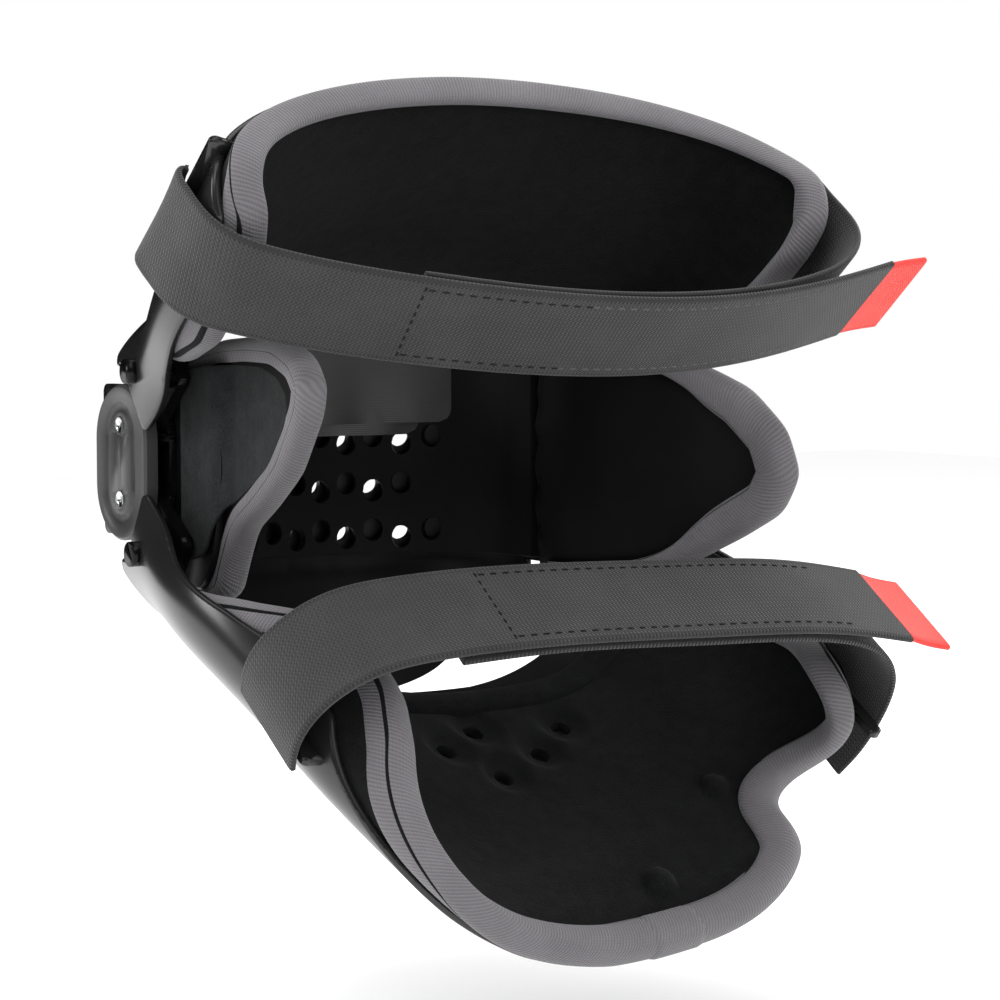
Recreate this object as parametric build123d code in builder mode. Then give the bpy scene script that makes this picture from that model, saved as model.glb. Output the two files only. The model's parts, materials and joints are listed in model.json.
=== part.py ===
from build123d import *
from math import cos, radians, sin
import os

os.makedirs("parts", exist_ok=True)

# Frame: +X is the wearer's right side of the brace, +Y is the front of the knee, +Z is up.
# The origin lies on the knee axis line, midway between the two hinge pivots and between the hinges.

# ---- driving dimensions, millimetres and degrees ----
pivot_offset = 12.0            # each hinge pivot sits this far above or below the knee centre
thigh_lean = 50.0              # thigh frame leans back by this much in the modelled pose
shin_lean = 56.0               # shin frame leans back by this much in the modelled pose

shell_thickness = 3.0
pad_thickness = 7.0
bead_thickness = 11.0
bead_width = 12.0

cup_half_width = 76.9
cup_depth = 47.0
cup_thickness = 2.4
cup_hole_radius = 3.8
cup_top = 35.0
cup_tongue_shifts = ((-40, 0), (-66, -16), (-94, -44))   # height, rearward shift
knee_liner_top = 32.0
knee_liner_bottom = -38.0
left_wing_spread = 88.0        # half width of the knee wing at its rear end
right_wing_spread = 101.5
wing_reach = 126.0

plate_thickness = 2.5
gear_thickness = 4.0
cover_thickness = 4.6
cover_height = 50.5
cover_width = 36.0
pitch_radius = pivot_offset
tooth_count = 16
tip_radius = pitch_radius + 1.2
root_radius = pitch_radius - 1.7
post_radius = 3.5
screw_head_radius = 2.8
screw_shank_radius = 1.5
rivet_radius = 2.2
rivet_head_radius = 4.0

strap_thickness = 2.2
strap_width = 36.0
thigh_strap_height = 108.0     # strap centre on its frame, where it crosses the frame axis
thigh_strap_tilt = -2.8        # right end rides higher than the left
thigh_strap_rise = -14.0       # rear rides higher than the front
calf_strap_height = -136.0
calf_strap_tilt = 3.0
tab_length = 13.0
guide_thickness = 2.4
label_thickness = 0.8
label_top = 50.5
arm_cutout = 20.0
rivet_height = 28.0
rivet_reach = 96.6
spacer_radius = 6.0
spacer_length = 6.9
neck_length = 36.0
neck_width = 20.0
shin_hole_radius = 3.6
shin_pad_holes = ((-22, -118), (-6, -109), (12, -123), (27, -112), (-8, -132))

# ---- fits ----
running_clearance = 0.05       # radial, gear bore on its post
stack_gap = 0.1                # between plates that slide over one another
skin_gap = 0.05                # between parts that lie on one another

# ---- hinge stack along X, measured outwards from the knee centre ----
plate_inner = cup_half_width + stack_gap
plate_outer = plate_inner + plate_thickness
gear_inner = plate_outer + stack_gap
gear_outer = gear_inner + gear_thickness
cover_inner = gear_outer + stack_gap
cover_outer = cover_inner + cover_thickness

# ---- placing planes ----
thigh_base = Plane(
    origin=(0, 0, pivot_offset),
    x_dir=(1, 0, 0),
    z_dir=(0, -sin(radians(thigh_lean)), cos(radians(thigh_lean))),
)
shin_base = Plane(
    origin=(0, 0, -pivot_offset),
    x_dir=(1, 0, 0),
    z_dir=(0, sin(radians(shin_lean)), cos(radians(shin_lean))),
)
thigh_side = Plane(
    origin=(0, 0, pivot_offset),
    x_dir=(0, cos(radians(thigh_lean)), sin(radians(thigh_lean))),
    z_dir=(1, 0, 0),
)
shin_side = Plane(
    origin=(0, 0, -pivot_offset),
    x_dir=(0, cos(radians(shin_lean)), -sin(radians(shin_lean))),
    z_dir=(1, 0, 0),
)
thigh_strap_slab = thigh_base.offset(thigh_strap_height).rotated((thigh_strap_rise, thigh_strap_tilt, 0))
calf_strap_slab = shin_base.offset(calf_strap_height).rotated((0, calf_strap_tilt, 0))
knee_side = Plane(origin=(0, 0, 0), x_dir=(0, 1, 0), z_dir=(1, 0, 0))

# Leg sections: height along the frame, half width, half depth, centre in X, centre in Y.
thigh_sections = [
    (8, 87, 70, 0, -2),
    (36, 93, 44, 0, -6),
    (72, 104, 45, 0, -15),
    (110, 109, 45, 0, -19),
    (146, 110.5, 45, 0, -19),
]
shin_sections = [
    (-8, 87, 70, 0, -2),
    (-36, 93, 48, 0, -6),
    (-72, 101, 42, 0, -17),
    (-110, 102, 38, 5, -20),
    (-150, 96.5, 36, 7, -20),
    (-190, 82, 36, 4, -20),
    (-222, 70, 36, 1, -20),
]

# Side outlines in (Y, Z) of each frame, left and right.
thigh_pad_left = [
    (60, 140), (0, 140), (-14, 138), (-27, 130), (-34, 116), (-35, 98), (-31, 76),
    (-20, 55), (-6, 47), (8, 42), (24, 28), (60, 26),
]
thigh_pad_right = [
    (60, 140), (0, 140), (-14, 142), (-29, 137), (-36, 124), (-36, 104), (-33, 88),
    (-22, 64), (-6, 50), (8, 42), (24, 28), (60, 26),
]
shin_pad_left = [
    (60, -94), (19, -93), (14, -73), (6, -59), (-5, -51), (-16, -66), (-30, -86), (-40, -104),
    (-43, -122), (-41, -144), (-36, -160), (-27, -174), (-17, -188), (-8, -200), (4, -209),
    (16, -213), (60, -213),
]
shin_pad_right = [
    (60, -94), (19, -93), (14, -73), (6, -59), (-5, -52), (-14, -76), (-23, -98), (-32, -120),
    (-36, -140), (-33, -154), (-24, -163), (-12, -163), (0, -161), (4, -167), (2, -178),
    (1, -190), (5, -200), (11, -208), (18, -212), (60, -213),
]
wing_left = [
    (-8, 34), (-40, 40), (-62, 41), (-84, 41), (-101, 37), (-110, 29), (-107, 18), (-89, -1),
    (-70, -12), (-54, -20), (-47, -31), (-42, -41), (-30, -45), (-8, -45),
]
wing_right = [
    (-8, 34), (-36, 38), (-64, 36), (-89, 31), (-105, 24), (-118, 11), (-123, -4), (-117, -17),
    (-102, -26), (-84, -35), (-62, -41), (-36, -43.5), (-8, -44.5),
]
thigh_shell_outline = [
    (80, 134), (0, 134), (-14, 132), (-24, 126), (-27, 110), (-27, 94), (-23, 74), (-18, 50),
    (-15, 26), (-12, 9), (0, 9), (14, -4), (22, -3), (22, 10), (21, 28), (30, 30), (80, 30),
]
shin_shell_left = [
    (80, -88), (24, -86), (20, -62), (21, -36), (22, -10), (22, 3), (14, 4), (0, -9), (-12, -9),
    (-15, -30), (-20, -60),
    (-28, -92), (-33, -120), (-30, -142), (-20, -158), (-10, -176), (0, -192), (10, -203),
    (20, -208), (80, -208),
]
shin_shell_right = [
    (80, -88), (24, -86), (20, -62), (21, -36), (22, -10), (22, 3), (14, 4), (0, -9), (-12, -9),
    (-15, -30), (-20, -60),
    (-27, -92), (-27, -118), (-26, -140), (-16, -150), (0, -154), (7, -166), (6, -184),
    (12, -200), (22, -206), (80, -208),
]

def leg_layer(base, sections, outer, inner):
    """C-shaped wall between two offsets of the leg sections; offsets grow inwards."""
    with BuildPart() as layer:
        for height, half_width, depth, centre_x, centre_y in sections:
            with BuildSketch(base.offset(height)):
                with Locations((centre_x, centre_y)):
                    Ellipse(half_width - outer, depth - outer)
        loft()
        for height, half_width, depth, centre_x, centre_y in sections:
            with BuildSketch(base.offset(height)):
                with Locations((centre_x, centre_y)):
                    Ellipse(half_width - inner, depth - inner)
        loft(mode=Mode.SUBTRACT)
    return layer.part


def cup_layer(outer, inner, low, high):
    """Wall of the knee cup and its two rear wings between two inward offsets."""
    with BuildPart() as layer:
        for inset, mode in ((outer, Mode.ADD), (inner, Mode.SUBTRACT)):
            width = cup_half_width - inset
            with BuildSketch(Plane.XY.offset(low)):
                with BuildLine():
                    EllipticalCenterArc((0, 5), width, cup_depth - inset, start_angle=0, arc_size=180)
                    Line((-width, 5), (-width, -24))
                    Spline(
                        (-width, -24),
                        (-left_wing_spread + inset, -wing_reach),
                        tangents=((0, -1), (-0.14, -1)),
                    )
                    Line((-left_wing_spread + inset, -wing_reach), (right_wing_spread - inset, -wing_reach))
                    Spline(
                        (right_wing_spread - inset, -wing_reach),
                        (width, -24),
                        tangents=((-0.3, 1), (0, 1)),
                    )
                    Line((width, -24), (width, 5))
                make_face()
            extrude(amount=high - low, mode=mode)
    return layer.part


def side_prism(plane, left_points, right_points, inset):
    """Solid that keeps the area inside the left and right side outlines."""
    with BuildPart() as prism:
        for points, reach in ((left_points, -160), (right_points, 160)):
            with BuildSketch(plane):
                with BuildLine():
                    Polyline(*points, close=True)
                make_face()
                if inset > 0:
                    offset(amount=-inset, kind=Kind.ARC)
            extrude(amount=reach)
    return prism.part


def one_side(plane, points, side, inset):
    """Solid that keeps the area inside one side outline only."""
    with BuildPart() as prism:
        with BuildSketch(plane):
            with BuildLine():
                Polyline(*points, close=True)
            make_face()
            if inset > 0:
                offset(amount=-inset, kind=Kind.ARC)
        extrude(amount=160 * side)
    return prism.part


def hinge_disc(side, pivot_z, first_tooth):
    """Toothed end of a hinge arm, lying across the knee axis."""
    with BuildPart() as disc:
        with BuildSketch(knee_side.offset(side * gear_inner)):
            with Locations((0, pivot_z)):
                Circle(root_radius)
                with PolarLocations(0, tooth_count, first_tooth):
                    Polygon(
                        (root_radius - 1, -1.75),
                        (pitch_radius - 0.2, -1.0),
                        (tip_radius, -0.45),
                        (tip_radius, 0.45),
                        (pitch_radius - 0.2, 1.0),
                        (root_radius - 1, 1.75),
                        align=None,
                    )
        extrude(amount=side * gear_thickness)
    return disc.part


# ==== fixed body: knee cup, wings and hinge housings ====

with BuildPart() as cup_tongue:
    for height, shift in cup_tongue_shifts:
        with BuildSketch(Plane.XY.offset(height)):
            with Locations((0, 5 + shift)):
                Ellipse(cup_half_width, cup_depth)
    loft()
    for height, shift in cup_tongue_shifts:
        with BuildSketch(Plane.XY.offset(height)):
            with Locations((0, 5 + shift)):
                Ellipse(cup_half_width - cup_thickness, cup_depth - cup_thickness)
    loft(mode=Mode.SUBTRACT)
    with Locations((0, -46, -44)):
        Box(200, 100, 10, mode=Mode.SUBTRACT)

# Vent pins: staggered rows of rods along Y that cut the holes of the cup and of its liner.
with BuildPart() as vent_pins:
    for row in range(3):
        for column in range(7):
            hole_x = -66 + 22 * column + (11 if row % 2 else 0)
            if hole_x < 50:
                with Locations(Location((hole_x, 30, 4 - 17 * row), (90, 0, 0))):
                    Cylinder(cup_hole_radius, 90)

with BuildPart() as knee_cup:
    add(cup_layer(0, cup_thickness, -40, cup_top))
    add(cup_tongue.part)
    with BuildSketch(knee_side):
        with BuildLine():
            Spline(
                (80, cup_top), (10, 33), (-30, 28), (-48, 10), (-46, -18), (-34, -38), (-6, -46),
                (3, -56), (-2, -70), (-14, -84), (-4, -92), (80, -92),
            )
            Line((80, -92), (80, cup_top))
        make_face()
    extrude(amount=120, both=True, mode=Mode.INTERSECT)
    with BuildSketch(Plane.XZ):
        with BuildLine():
            Polyline((-90, -34), (-90, 60), (90, 60), (90, -40))
            Spline(
                (90, -40), (72, -50), (60, -63), (47, -76), (30, -83), (10, -86), (-10, -85),
                (-38, -69), (-62, -48), (-90, -34),
            )
        make_face()
    extrude(amount=140, both=True, mode=Mode.INTERSECT)
    add(vent_pins.part, mode=Mode.SUBTRACT)
knee_cup.part.label = "knee_cup"
export_step(knee_cup.part, "parts/knee_cup.step")

with BuildPart() as knee_liner:
    add(cup_layer(cup_thickness, cup_thickness + pad_thickness, knee_liner_bottom, knee_liner_top))
    with Locations((0, -104, 0)):
        Box(240, 192, 140, mode=Mode.SUBTRACT)
    add(vent_pins.part, mode=Mode.SUBTRACT)
knee_liner.part.label = "knee_liner"
export_step(knee_liner.part, "parts/knee_liner.step")

for side, name, outline in ((-1, "left", wing_left), (1, "right", wing_right)):
    with BuildPart() as wing_binding:
        add(cup_layer(cup_thickness, cup_thickness + bead_thickness, -60, 60))
        add(one_side(knee_side, outline, side, 0), mode=Mode.INTERSECT)
        add(one_side(knee_side, outline, side, bead_width), mode=Mode.SUBTRACT)
        with Locations((side * 80, 10, 0)):
            Box(80, 64, 140, mode=Mode.SUBTRACT)
    wing_binding.part.label = f"knee_wing_binding_{name}"
    export_step(wing_binding.part, f"parts/knee_wing_binding_{name}.step")

    with BuildPart() as wing_pad:
        add(cup_layer(cup_thickness, cup_thickness + pad_thickness, -60, 60))
        add(one_side(knee_side, outline, side, 0), mode=Mode.INTERSECT)
        add(wing_binding.part, mode=Mode.SUBTRACT)
    wing_pad.part.label = f"knee_wing_pad_{name}"
    export_step(wing_pad.part, f"parts/knee_wing_pad_{name}.step")

    with BuildPart() as plate:
        with BuildSketch(knee_side.offset(side * plate_inner)):
            SlotOverall(cover_height, cover_width, rotation=90)
            with Locations((20, 17), (20, -17)):
                RectangleRounded(20, 16, 3)
        extrude(amount=side * plate_thickness)
    plate.part.label = f"hinge_plate_{name}"
    export_step(plate.part, f"parts/hinge_plate_{name}.step")

    with BuildPart() as cover:
        with BuildSketch(knee_side.offset(side * cover_inner)):
            SlotOverall(cover_height, cover_width, rotation=90)
        extrude(amount=side * cover_thickness)
        chamfer(cover.faces().sort_by(Axis.X)[-1 if side > 0 else 0].edges(), 0.8)
        with BuildSketch(knee_side.offset(side * cover_outer)):
            SlotOverall(cover_height - 11, cover_width - 14, rotation=90)
            SlotOverall(cover_height - 17, cover_width - 20, rotation=90, mode=Mode.SUBTRACT)
        extrude(amount=-side * 0.7, mode=Mode.SUBTRACT)
        with BuildSketch(knee_side.offset(side * cover_outer)):
            with Locations((0, pivot_offset), (0, -pivot_offset)):
                Circle(screw_head_radius + running_clearance)
        extrude(amount=-side * 1.2, mode=Mode.SUBTRACT)
        with BuildSketch(knee_side.offset(side * cover_inner)):
            with Locations((0, pivot_offset), (0, -pivot_offset)):
                Circle(screw_shank_radius + running_clearance)
        extrude(amount=side * cover_thickness, mode=Mode.SUBTRACT)
    cover.part.label = f"hinge_cover_{name}"
    export_step(cover.part, f"parts/hinge_cover_{name}.step")

    with BuildPart() as stop:
        with BuildSketch(knee_side.offset(side * gear_inner)):
            with Locations((14.5, 0)):
                RectangleRounded(4, 9, 1.2)
        extrude(amount=side * gear_thickness)
    stop.part.label = f"extension_stop_{name}"
    export_step(stop.part, f"parts/extension_stop_{name}.step")

    for level, level_name in ((pivot_offset, "upper"), (-pivot_offset, "lower")):
        with BuildPart() as post:
            with BuildSketch(knee_side.offset(side * plate_outer)):
                with Locations((0, level)):
                    Circle(post_radius)
                    Circle(screw_shank_radius + skin_gap, mode=Mode.SUBTRACT)
            extrude(amount=side * (cover_inner - plate_outer))
        post.part.label = f"pivot_post_{level_name}_{name}"
        export_step(post.part, f"parts/pivot_post_{level_name}_{name}.step")

        with BuildPart() as screw:
            with BuildSketch(knee_side.offset(side * (plate_outer + 0.2))):
                with Locations((0, level)):
                    Circle(screw_shank_radius)
            extrude(amount=side * (cover_outer - 1.2 - plate_outer - 0.2))
            with BuildSketch(knee_side.offset(side * (cover_outer - 1.2))):
                with Locations((0, level)):
                    Circle(screw_head_radius)
            extrude(amount=side * 1.5)
            with BuildSketch(knee_side.offset(side * (cover_outer + 0.3))):
                with Locations((0, level)):
                    RegularPolygon(1.2, 6)
            extrude(amount=-side * 1.1, mode=Mode.SUBTRACT)
        screw.part.label = f"pivot_screw_{level_name}_{name}"
        export_step(screw.part, f"parts/pivot_screw_{level_name}_{name}.step")

# ==== thigh frame ====

with BuildPart() as thigh_shell:
    add(leg_layer(thigh_base, thigh_sections, -shell_thickness, 0))
    add(side_prism(thigh_side, thigh_shell_outline, thigh_shell_outline, 0), mode=Mode.INTERSECT)
    with BuildSketch(thigh_side.offset(-160)):
        Circle(arm_cutout)
        with Locations((0, rivet_height)):
            Circle(rivet_radius)
    extrude(amount=320, mode=Mode.SUBTRACT)
thigh_shell.part.label = "thigh_shell"
export_step(thigh_shell.part, "parts/thigh_shell.step")

with BuildPart() as thigh_binding:
    add(leg_layer(thigh_base, thigh_sections, 0, bead_thickness))
    add(side_prism(thigh_side, thigh_pad_left, thigh_pad_right, 0), mode=Mode.INTERSECT)
    add(side_prism(thigh_side, thigh_pad_left, thigh_pad_right, bead_width), mode=Mode.SUBTRACT)
thigh_binding.part.label = "thigh_binding"
export_step(thigh_binding.part, "parts/thigh_binding.step")

with BuildPart() as thigh_pad:
    add(leg_layer(thigh_base, thigh_sections, 0, pad_thickness))
    add(side_prism(thigh_side, thigh_pad_left, thigh_pad_right, bead_width), mode=Mode.INTERSECT)
thigh_pad.part.label = "thigh_pad"
export_step(thigh_pad.part, "parts/thigh_pad.step")

thigh_strap_pieces = (
    (
        "thigh_strap",
        [(-107.4, -0.5), (-110, 0.6), (-112.9, -1), (-114.7, -5.5), (-115, -12), (-113.4, -25),
         (-108, -34), (-99, -40), (-74, -50), (-30, -61.7), (30, -68), (80, -62), (114, -53)],
        0,
    ),
    (
        "thigh_strap_return",
        [(-56, -52), (-30, -58.6), (30, -64.9), (80, -57.6), (103, -46.5), (113.5, -33),
         (115.5, -16), (115.5, -4), (111, 4), (105, 3)],
        1,
    ),
    ("thigh_strap_tab", [(114.6, -52.9), (120, -51.8), (114 + tab_length, -51)], 2),
)
for strap_name, path, trim in thigh_strap_pieces:
    with BuildPart() as strap:
        with BuildSketch(thigh_base.offset(40)):
            with BuildLine():
                Spline(*path)
            trace(line_width=strap_thickness)
        extrude(amount=140)
        with Locations(thigh_strap_slab):
            Box(400, 400, strap_width - trim, mode=Mode.INTERSECT)
    strap.part.label = strap_name
    export_step(strap.part, f"parts/{strap_name}.step")

for label_name, label_y, low, left_end, right_end in (
    ("care_label_front", -8.0, 11, -31, 34),
    ("care_label_back", -6.5, 7, -37, 22),
):
    with BuildPart() as label_layer:
        with BuildSketch(Plane(origin=(0, label_y, 0), x_dir=(1, 0, 0), z_dir=(0, -1, 0))):
            with Locations(((left_end + right_end) / 2, (label_top + low) / 2)):
                RectangleRounded(right_end - left_end, label_top - low, 5)
        extrude(amount=label_thickness)
        add(thigh_binding.part, mode=Mode.SUBTRACT)
    label_layer.part.label = label_name
    export_step(label_layer.part, f"parts/{label_name}.step")

# ==== shin frame ====

with BuildPart() as shin_shell:
    add(leg_layer(shin_base, shin_sections, -shell_thickness, 0))
    add(side_prism(shin_side, shin_shell_left, shin_shell_right, 0), mode=Mode.INTERSECT)
    with BuildSketch(shin_side.offset(-160)):
        Circle(arm_cutout)
        with Locations((0, -rivet_height)):
            Circle(rivet_radius)
    extrude(amount=320, mode=Mode.SUBTRACT)
shin_shell.part.label = "shin_shell"
export_step(shin_shell.part, "parts/shin_shell.step")

with BuildPart() as shin_binding:
    add(leg_layer(shin_base, shin_sections, 0, bead_thickness))
    add(side_prism(shin_side, shin_pad_left, shin_pad_right, 0), mode=Mode.INTERSECT)
    add(side_prism(shin_side, shin_pad_left, shin_pad_right, bead_width), mode=Mode.SUBTRACT)
shin_binding.part.label = "shin_binding"
export_step(shin_binding.part, "parts/shin_binding.step")

with BuildPart() as shin_pad:
    add(leg_layer(shin_base, shin_sections, 0, pad_thickness))
    add(side_prism(shin_side, shin_pad_left, shin_pad_right, bead_width), mode=Mode.INTERSECT)
    for hole_x, hole_z in shin_pad_holes:
        with Locations(shin_base.offset(hole_z)):
            with Locations(Location((hole_x, 10, 0), (90, 0, 0))):
                Cylinder(shin_hole_radius, 24, mode=Mode.SUBTRACT)
shin_pad.part.label = "shin_pad"
export_step(shin_pad.part, "parts/shin_pad.step")

calf_strap_pieces = (
    (
        "calf_strap",
        [(-100, -17.5), (-101.3, -24), (-101, -31), (-98, -39), (-92.5, -46), (-83, -52.5),
         (-66, -57), (-30, -60.5), (30, -61.5), (80, -60), (108, -55.5)],
        0,
    ),
    (
        "calf_strap_return",
        [(-56, -54.5), (-30, -57.2), (30, -58), (80, -56), (99, -49.5), (108.5, -39), (111.2, -28),
         (111, -17), (109, -7), (105.5, 1)],
        1,
    ),
    ("calf_strap_tab", [(108.5, -55.3), (115, -53.2), (109 + tab_length, -51.6)], 2),
)
for strap_name, path, trim in calf_strap_pieces:
    with BuildPart() as strap:
        with BuildSketch(shin_base.offset(-190)):
            with BuildLine():
                Spline(*path)
            trace(line_width=strap_thickness)
        extrude(amount=110)
        with Locations(calf_strap_slab):
            Box(400, 400, strap_width - trim, mode=Mode.INTERSECT)
    strap.part.label = strap_name
    export_step(strap.part, f"parts/{strap_name}.step")

# Strap guides: a rib stands off each shell and carries a bar that the strap end loops round.
guides = (
    ("thigh_strap_guide_left", thigh_base, (-99, -9), (-111.6, -4), 80, 138),
    ("thigh_strap_guide_right", thigh_base, (99, -9), (111.5, -1), 90, 134),
    ("calf_strap_guide_left", shin_base, (-88, -21), (-98.8, -21.5), -150, -122),
    ("calf_strap_guide_right", shin_base, (104.9, -20), (109.4, -20), -164, -134),
)
for guide_name, base, foot, tip, low, high in guides:
    direction = (Vector(*tip) - Vector(*foot)).normalized()
    across = base.x_dir * direction.X + base.y_dir * direction.Y
    middle = base.offset((low + high) / 2)
    lug_plane = Plane(
        origin=middle.from_local_coords(Vector((foot[0] + tip[0]) / 2, (foot[1] + tip[1]) / 2)),
        x_dir=across,
        z_dir=across.cross(base.z_dir),
    )
    reach = (Vector(*tip) - Vector(*foot)).length
    with BuildPart() as guide:
        with BuildSketch(lug_plane.offset(-guide_thickness / 2)):
            RectangleRounded(reach, high - low, 2)
        extrude(amount=guide_thickness)
        frame_parts = (thigh_shell, thigh_pad, thigh_binding) if base is thigh_base else (
            shin_shell, shin_pad, shin_binding)
        for neighbour in frame_parts:
            add(neighbour.part, mode=Mode.SUBTRACT)
    guide.part.label = guide_name
    export_step(guide.part, f"parts/{guide_name}.step")

# Hinge arms: toothed disc and neck of each frame, with the spacer and rivet that join it to its shell.
for frame_name, pivot_z, lean_angle, first_tooth, shell in (
    ("thigh", pivot_offset, 90 + thigh_lean, -90 + 180 / tooth_count, thigh_shell),
    ("shin", -pivot_offset, -90 - shin_lean, 90, shin_shell),
):
    for side, name in ((-1, "left"), (1, "right")):
        rivet_spot = Location((0, pivot_z), lean_angle) * Location((rivet_height, 0))
        with BuildPart() as arm:
            add(hinge_disc(side, pivot_z, first_tooth))
            with BuildSketch(knee_side.offset(side * gear_inner)):
                with Locations(Location((0, pivot_z), lean_angle)):
                    with Locations((neck_length / 2, 0)):
                        RectangleRounded(neck_length, neck_width, 3)
            extrude(amount=side * gear_thickness)
            with BuildSketch(knee_side.offset(side * gear_inner)):
                with Locations((0, pivot_z)):
                    Circle(post_radius + running_clearance)
                with Locations(rivet_spot):
                    Circle(rivet_radius)
            extrude(amount=side * gear_thickness, mode=Mode.SUBTRACT)
        arm.part.label = f"{frame_name}_hinge_arm_{name}"
        export_step(arm.part, f"parts/{frame_name}_hinge_arm_{name}.step")

        with BuildPart() as spacer:
            with BuildSketch(knee_side.offset(side * gear_outer)):
                with Locations(rivet_spot):
                    Circle(spacer_radius)
                    Circle(rivet_radius, mode=Mode.SUBTRACT)
            extrude(amount=side * spacer_length)
            add(shell.part, mode=Mode.SUBTRACT)
        spacer.part.label = f"{frame_name}_arm_spacer_{name}"
        export_step(spacer.part, f"parts/{frame_name}_arm_spacer_{name}.step")

        with BuildPart() as rivet:
            with BuildSketch(knee_side.offset(side * (gear_inner + 0.3))):
                with Locations(rivet_spot):
                    Circle(rivet_radius)
            extrude(amount=side * (rivet_reach - gear_inner - 0.3))
            with BuildSketch(knee_side.offset(side * rivet_reach)):
                with Locations(rivet_spot):
                    Circle(rivet_head_radius)
            extrude(amount=-side * 4)
            add(shell.part, mode=Mode.SUBTRACT)
            add(spacer.part, mode=Mode.SUBTRACT)
        rivet.part.label = f"{frame_name}_arm_rivet_{name}"
        export_step(rivet.part, f"parts/{frame_name}_arm_rivet_{name}.step")
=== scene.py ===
"""Hinged knee brace: its looks, built around the fixed CAD frame.

Sizes in the tables are millimetres and degrees; meshes are written in metres.
The row frame has +X to the right side of the brace, +Y to the front of the knee and +Z up.
"""

from __future__ import annotations

import json
import logging
import math
from abc import ABC, abstractmethod
from dataclasses import dataclass, field
from enum import Enum
from typing import Any, Sequence

import bmesh
import bpy
import numpy as np
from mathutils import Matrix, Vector

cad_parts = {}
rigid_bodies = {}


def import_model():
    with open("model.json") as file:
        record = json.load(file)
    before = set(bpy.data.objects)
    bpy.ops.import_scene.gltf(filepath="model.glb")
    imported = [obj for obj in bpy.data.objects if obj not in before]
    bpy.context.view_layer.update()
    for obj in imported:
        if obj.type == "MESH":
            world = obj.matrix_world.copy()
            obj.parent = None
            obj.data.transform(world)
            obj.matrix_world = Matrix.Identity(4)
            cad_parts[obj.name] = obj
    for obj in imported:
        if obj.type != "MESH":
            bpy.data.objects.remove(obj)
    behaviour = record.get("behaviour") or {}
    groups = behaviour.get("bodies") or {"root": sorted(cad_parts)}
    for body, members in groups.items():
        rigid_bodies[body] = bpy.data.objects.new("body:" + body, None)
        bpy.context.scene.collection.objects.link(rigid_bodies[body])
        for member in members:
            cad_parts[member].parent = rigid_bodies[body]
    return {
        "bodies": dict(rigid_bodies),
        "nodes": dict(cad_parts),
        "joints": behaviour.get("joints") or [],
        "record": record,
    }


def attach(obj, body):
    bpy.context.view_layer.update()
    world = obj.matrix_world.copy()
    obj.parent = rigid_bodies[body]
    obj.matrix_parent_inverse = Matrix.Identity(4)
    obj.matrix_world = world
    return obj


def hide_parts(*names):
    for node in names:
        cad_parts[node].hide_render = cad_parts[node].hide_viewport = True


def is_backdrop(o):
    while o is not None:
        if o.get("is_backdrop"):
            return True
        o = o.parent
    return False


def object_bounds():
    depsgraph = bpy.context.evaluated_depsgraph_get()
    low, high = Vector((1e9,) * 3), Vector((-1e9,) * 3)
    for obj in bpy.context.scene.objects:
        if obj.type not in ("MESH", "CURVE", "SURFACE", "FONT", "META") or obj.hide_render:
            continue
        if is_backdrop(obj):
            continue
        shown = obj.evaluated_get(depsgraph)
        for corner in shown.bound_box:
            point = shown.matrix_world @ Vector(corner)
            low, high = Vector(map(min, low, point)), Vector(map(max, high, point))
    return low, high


LOG = logging.getLogger("knee_brace")
MM = 0.001
Array = np.ndarray
Points = Sequence[tuple[float, float]]
CUP_HALF_WIDTH = 76.9
CUP_HALF_DEPTH = 47.0
PAD_GRID = 1.6  # grid spacing of foam and cloth pieces
SHELL_ANGLE, CLOTH_ANGLE, CORD_ANGLE = 50, 60, 80  # degrees below which edges are shaded smooth
FLOOR_GAP = 30.0  # floor below the lowest point of the frame


class Body(Enum):
    """The three rigid bodies of the brace."""

    KNEE = "knee_carrier"
    THIGH = "thigh_frame"
    SHIN = "shin_frame"


class Side(Enum):
    """Left or right side of the brace."""

    LEFT = -1
    RIGHT = 1

    @property
    def word(self) -> str:
        """The side's name as it stands in piece names."""
        return self.name.lower()


# ---------------------------------------------------------------- curves


def unit(vectors: Array) -> Array:
    """Vectors divided by their own length."""
    return vectors / np.maximum(np.linalg.norm(vectors, axis=-1, keepdims=True), 1e-9)


@dataclass
class NaturalCurve:
    """Natural cubic spline: a cubic between each two knots.

    Neighbouring cubics meet with equal slope and bend, and neither end has a bend.
    """

    knots: Array
    values: Array
    bends: Array = field(init=False)

    def __post_init__(self) -> None:
        """Solves the tridiagonal system for the bend at each knot."""
        order = np.argsort(self.knots)
        self.knots = np.asarray(self.knots, float)[order]
        self.values = np.asarray(self.values, float)[order]
        gap = np.diff(self.knots)[:, None]
        slope = np.diff(self.values, axis=0) / gap
        system = np.eye(len(self.knots))
        inner = np.arange(1, len(self.knots) - 1)
        system[inner, inner - 1] = gap[:-1, 0]
        system[inner, inner] = 2 * (gap[:-1, 0] + gap[1:, 0])
        system[inner, inner + 1] = gap[1:, 0]
        right = np.zeros_like(self.values)
        right[inner] = 6 * np.diff(slope, axis=0)
        self.bends = np.linalg.solve(system, right)

    def at(self, where: Array) -> Array:
        """Values at these knots' positions.

        Args:
            where: positions of any shape.

        Returns:
            Array of the same shape with one more axis for the value's columns.
        """
        where = np.asarray(where, float)
        i = np.clip(np.searchsorted(self.knots, where) - 1, 0, len(self.knots) - 2)
        width = (self.knots[i + 1] - self.knots[i])[..., None]
        right = (where - self.knots[i])[..., None]
        left = width - right
        cubic = (self.bends[i] * left**3 + self.bends[i + 1] * right**3) / (6 * width)
        first = (self.values[i] / width - self.bends[i] * width / 6) * left
        second = (self.values[i + 1] / width - self.bends[i + 1] * width / 6) * right
        return cubic + first + second


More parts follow.
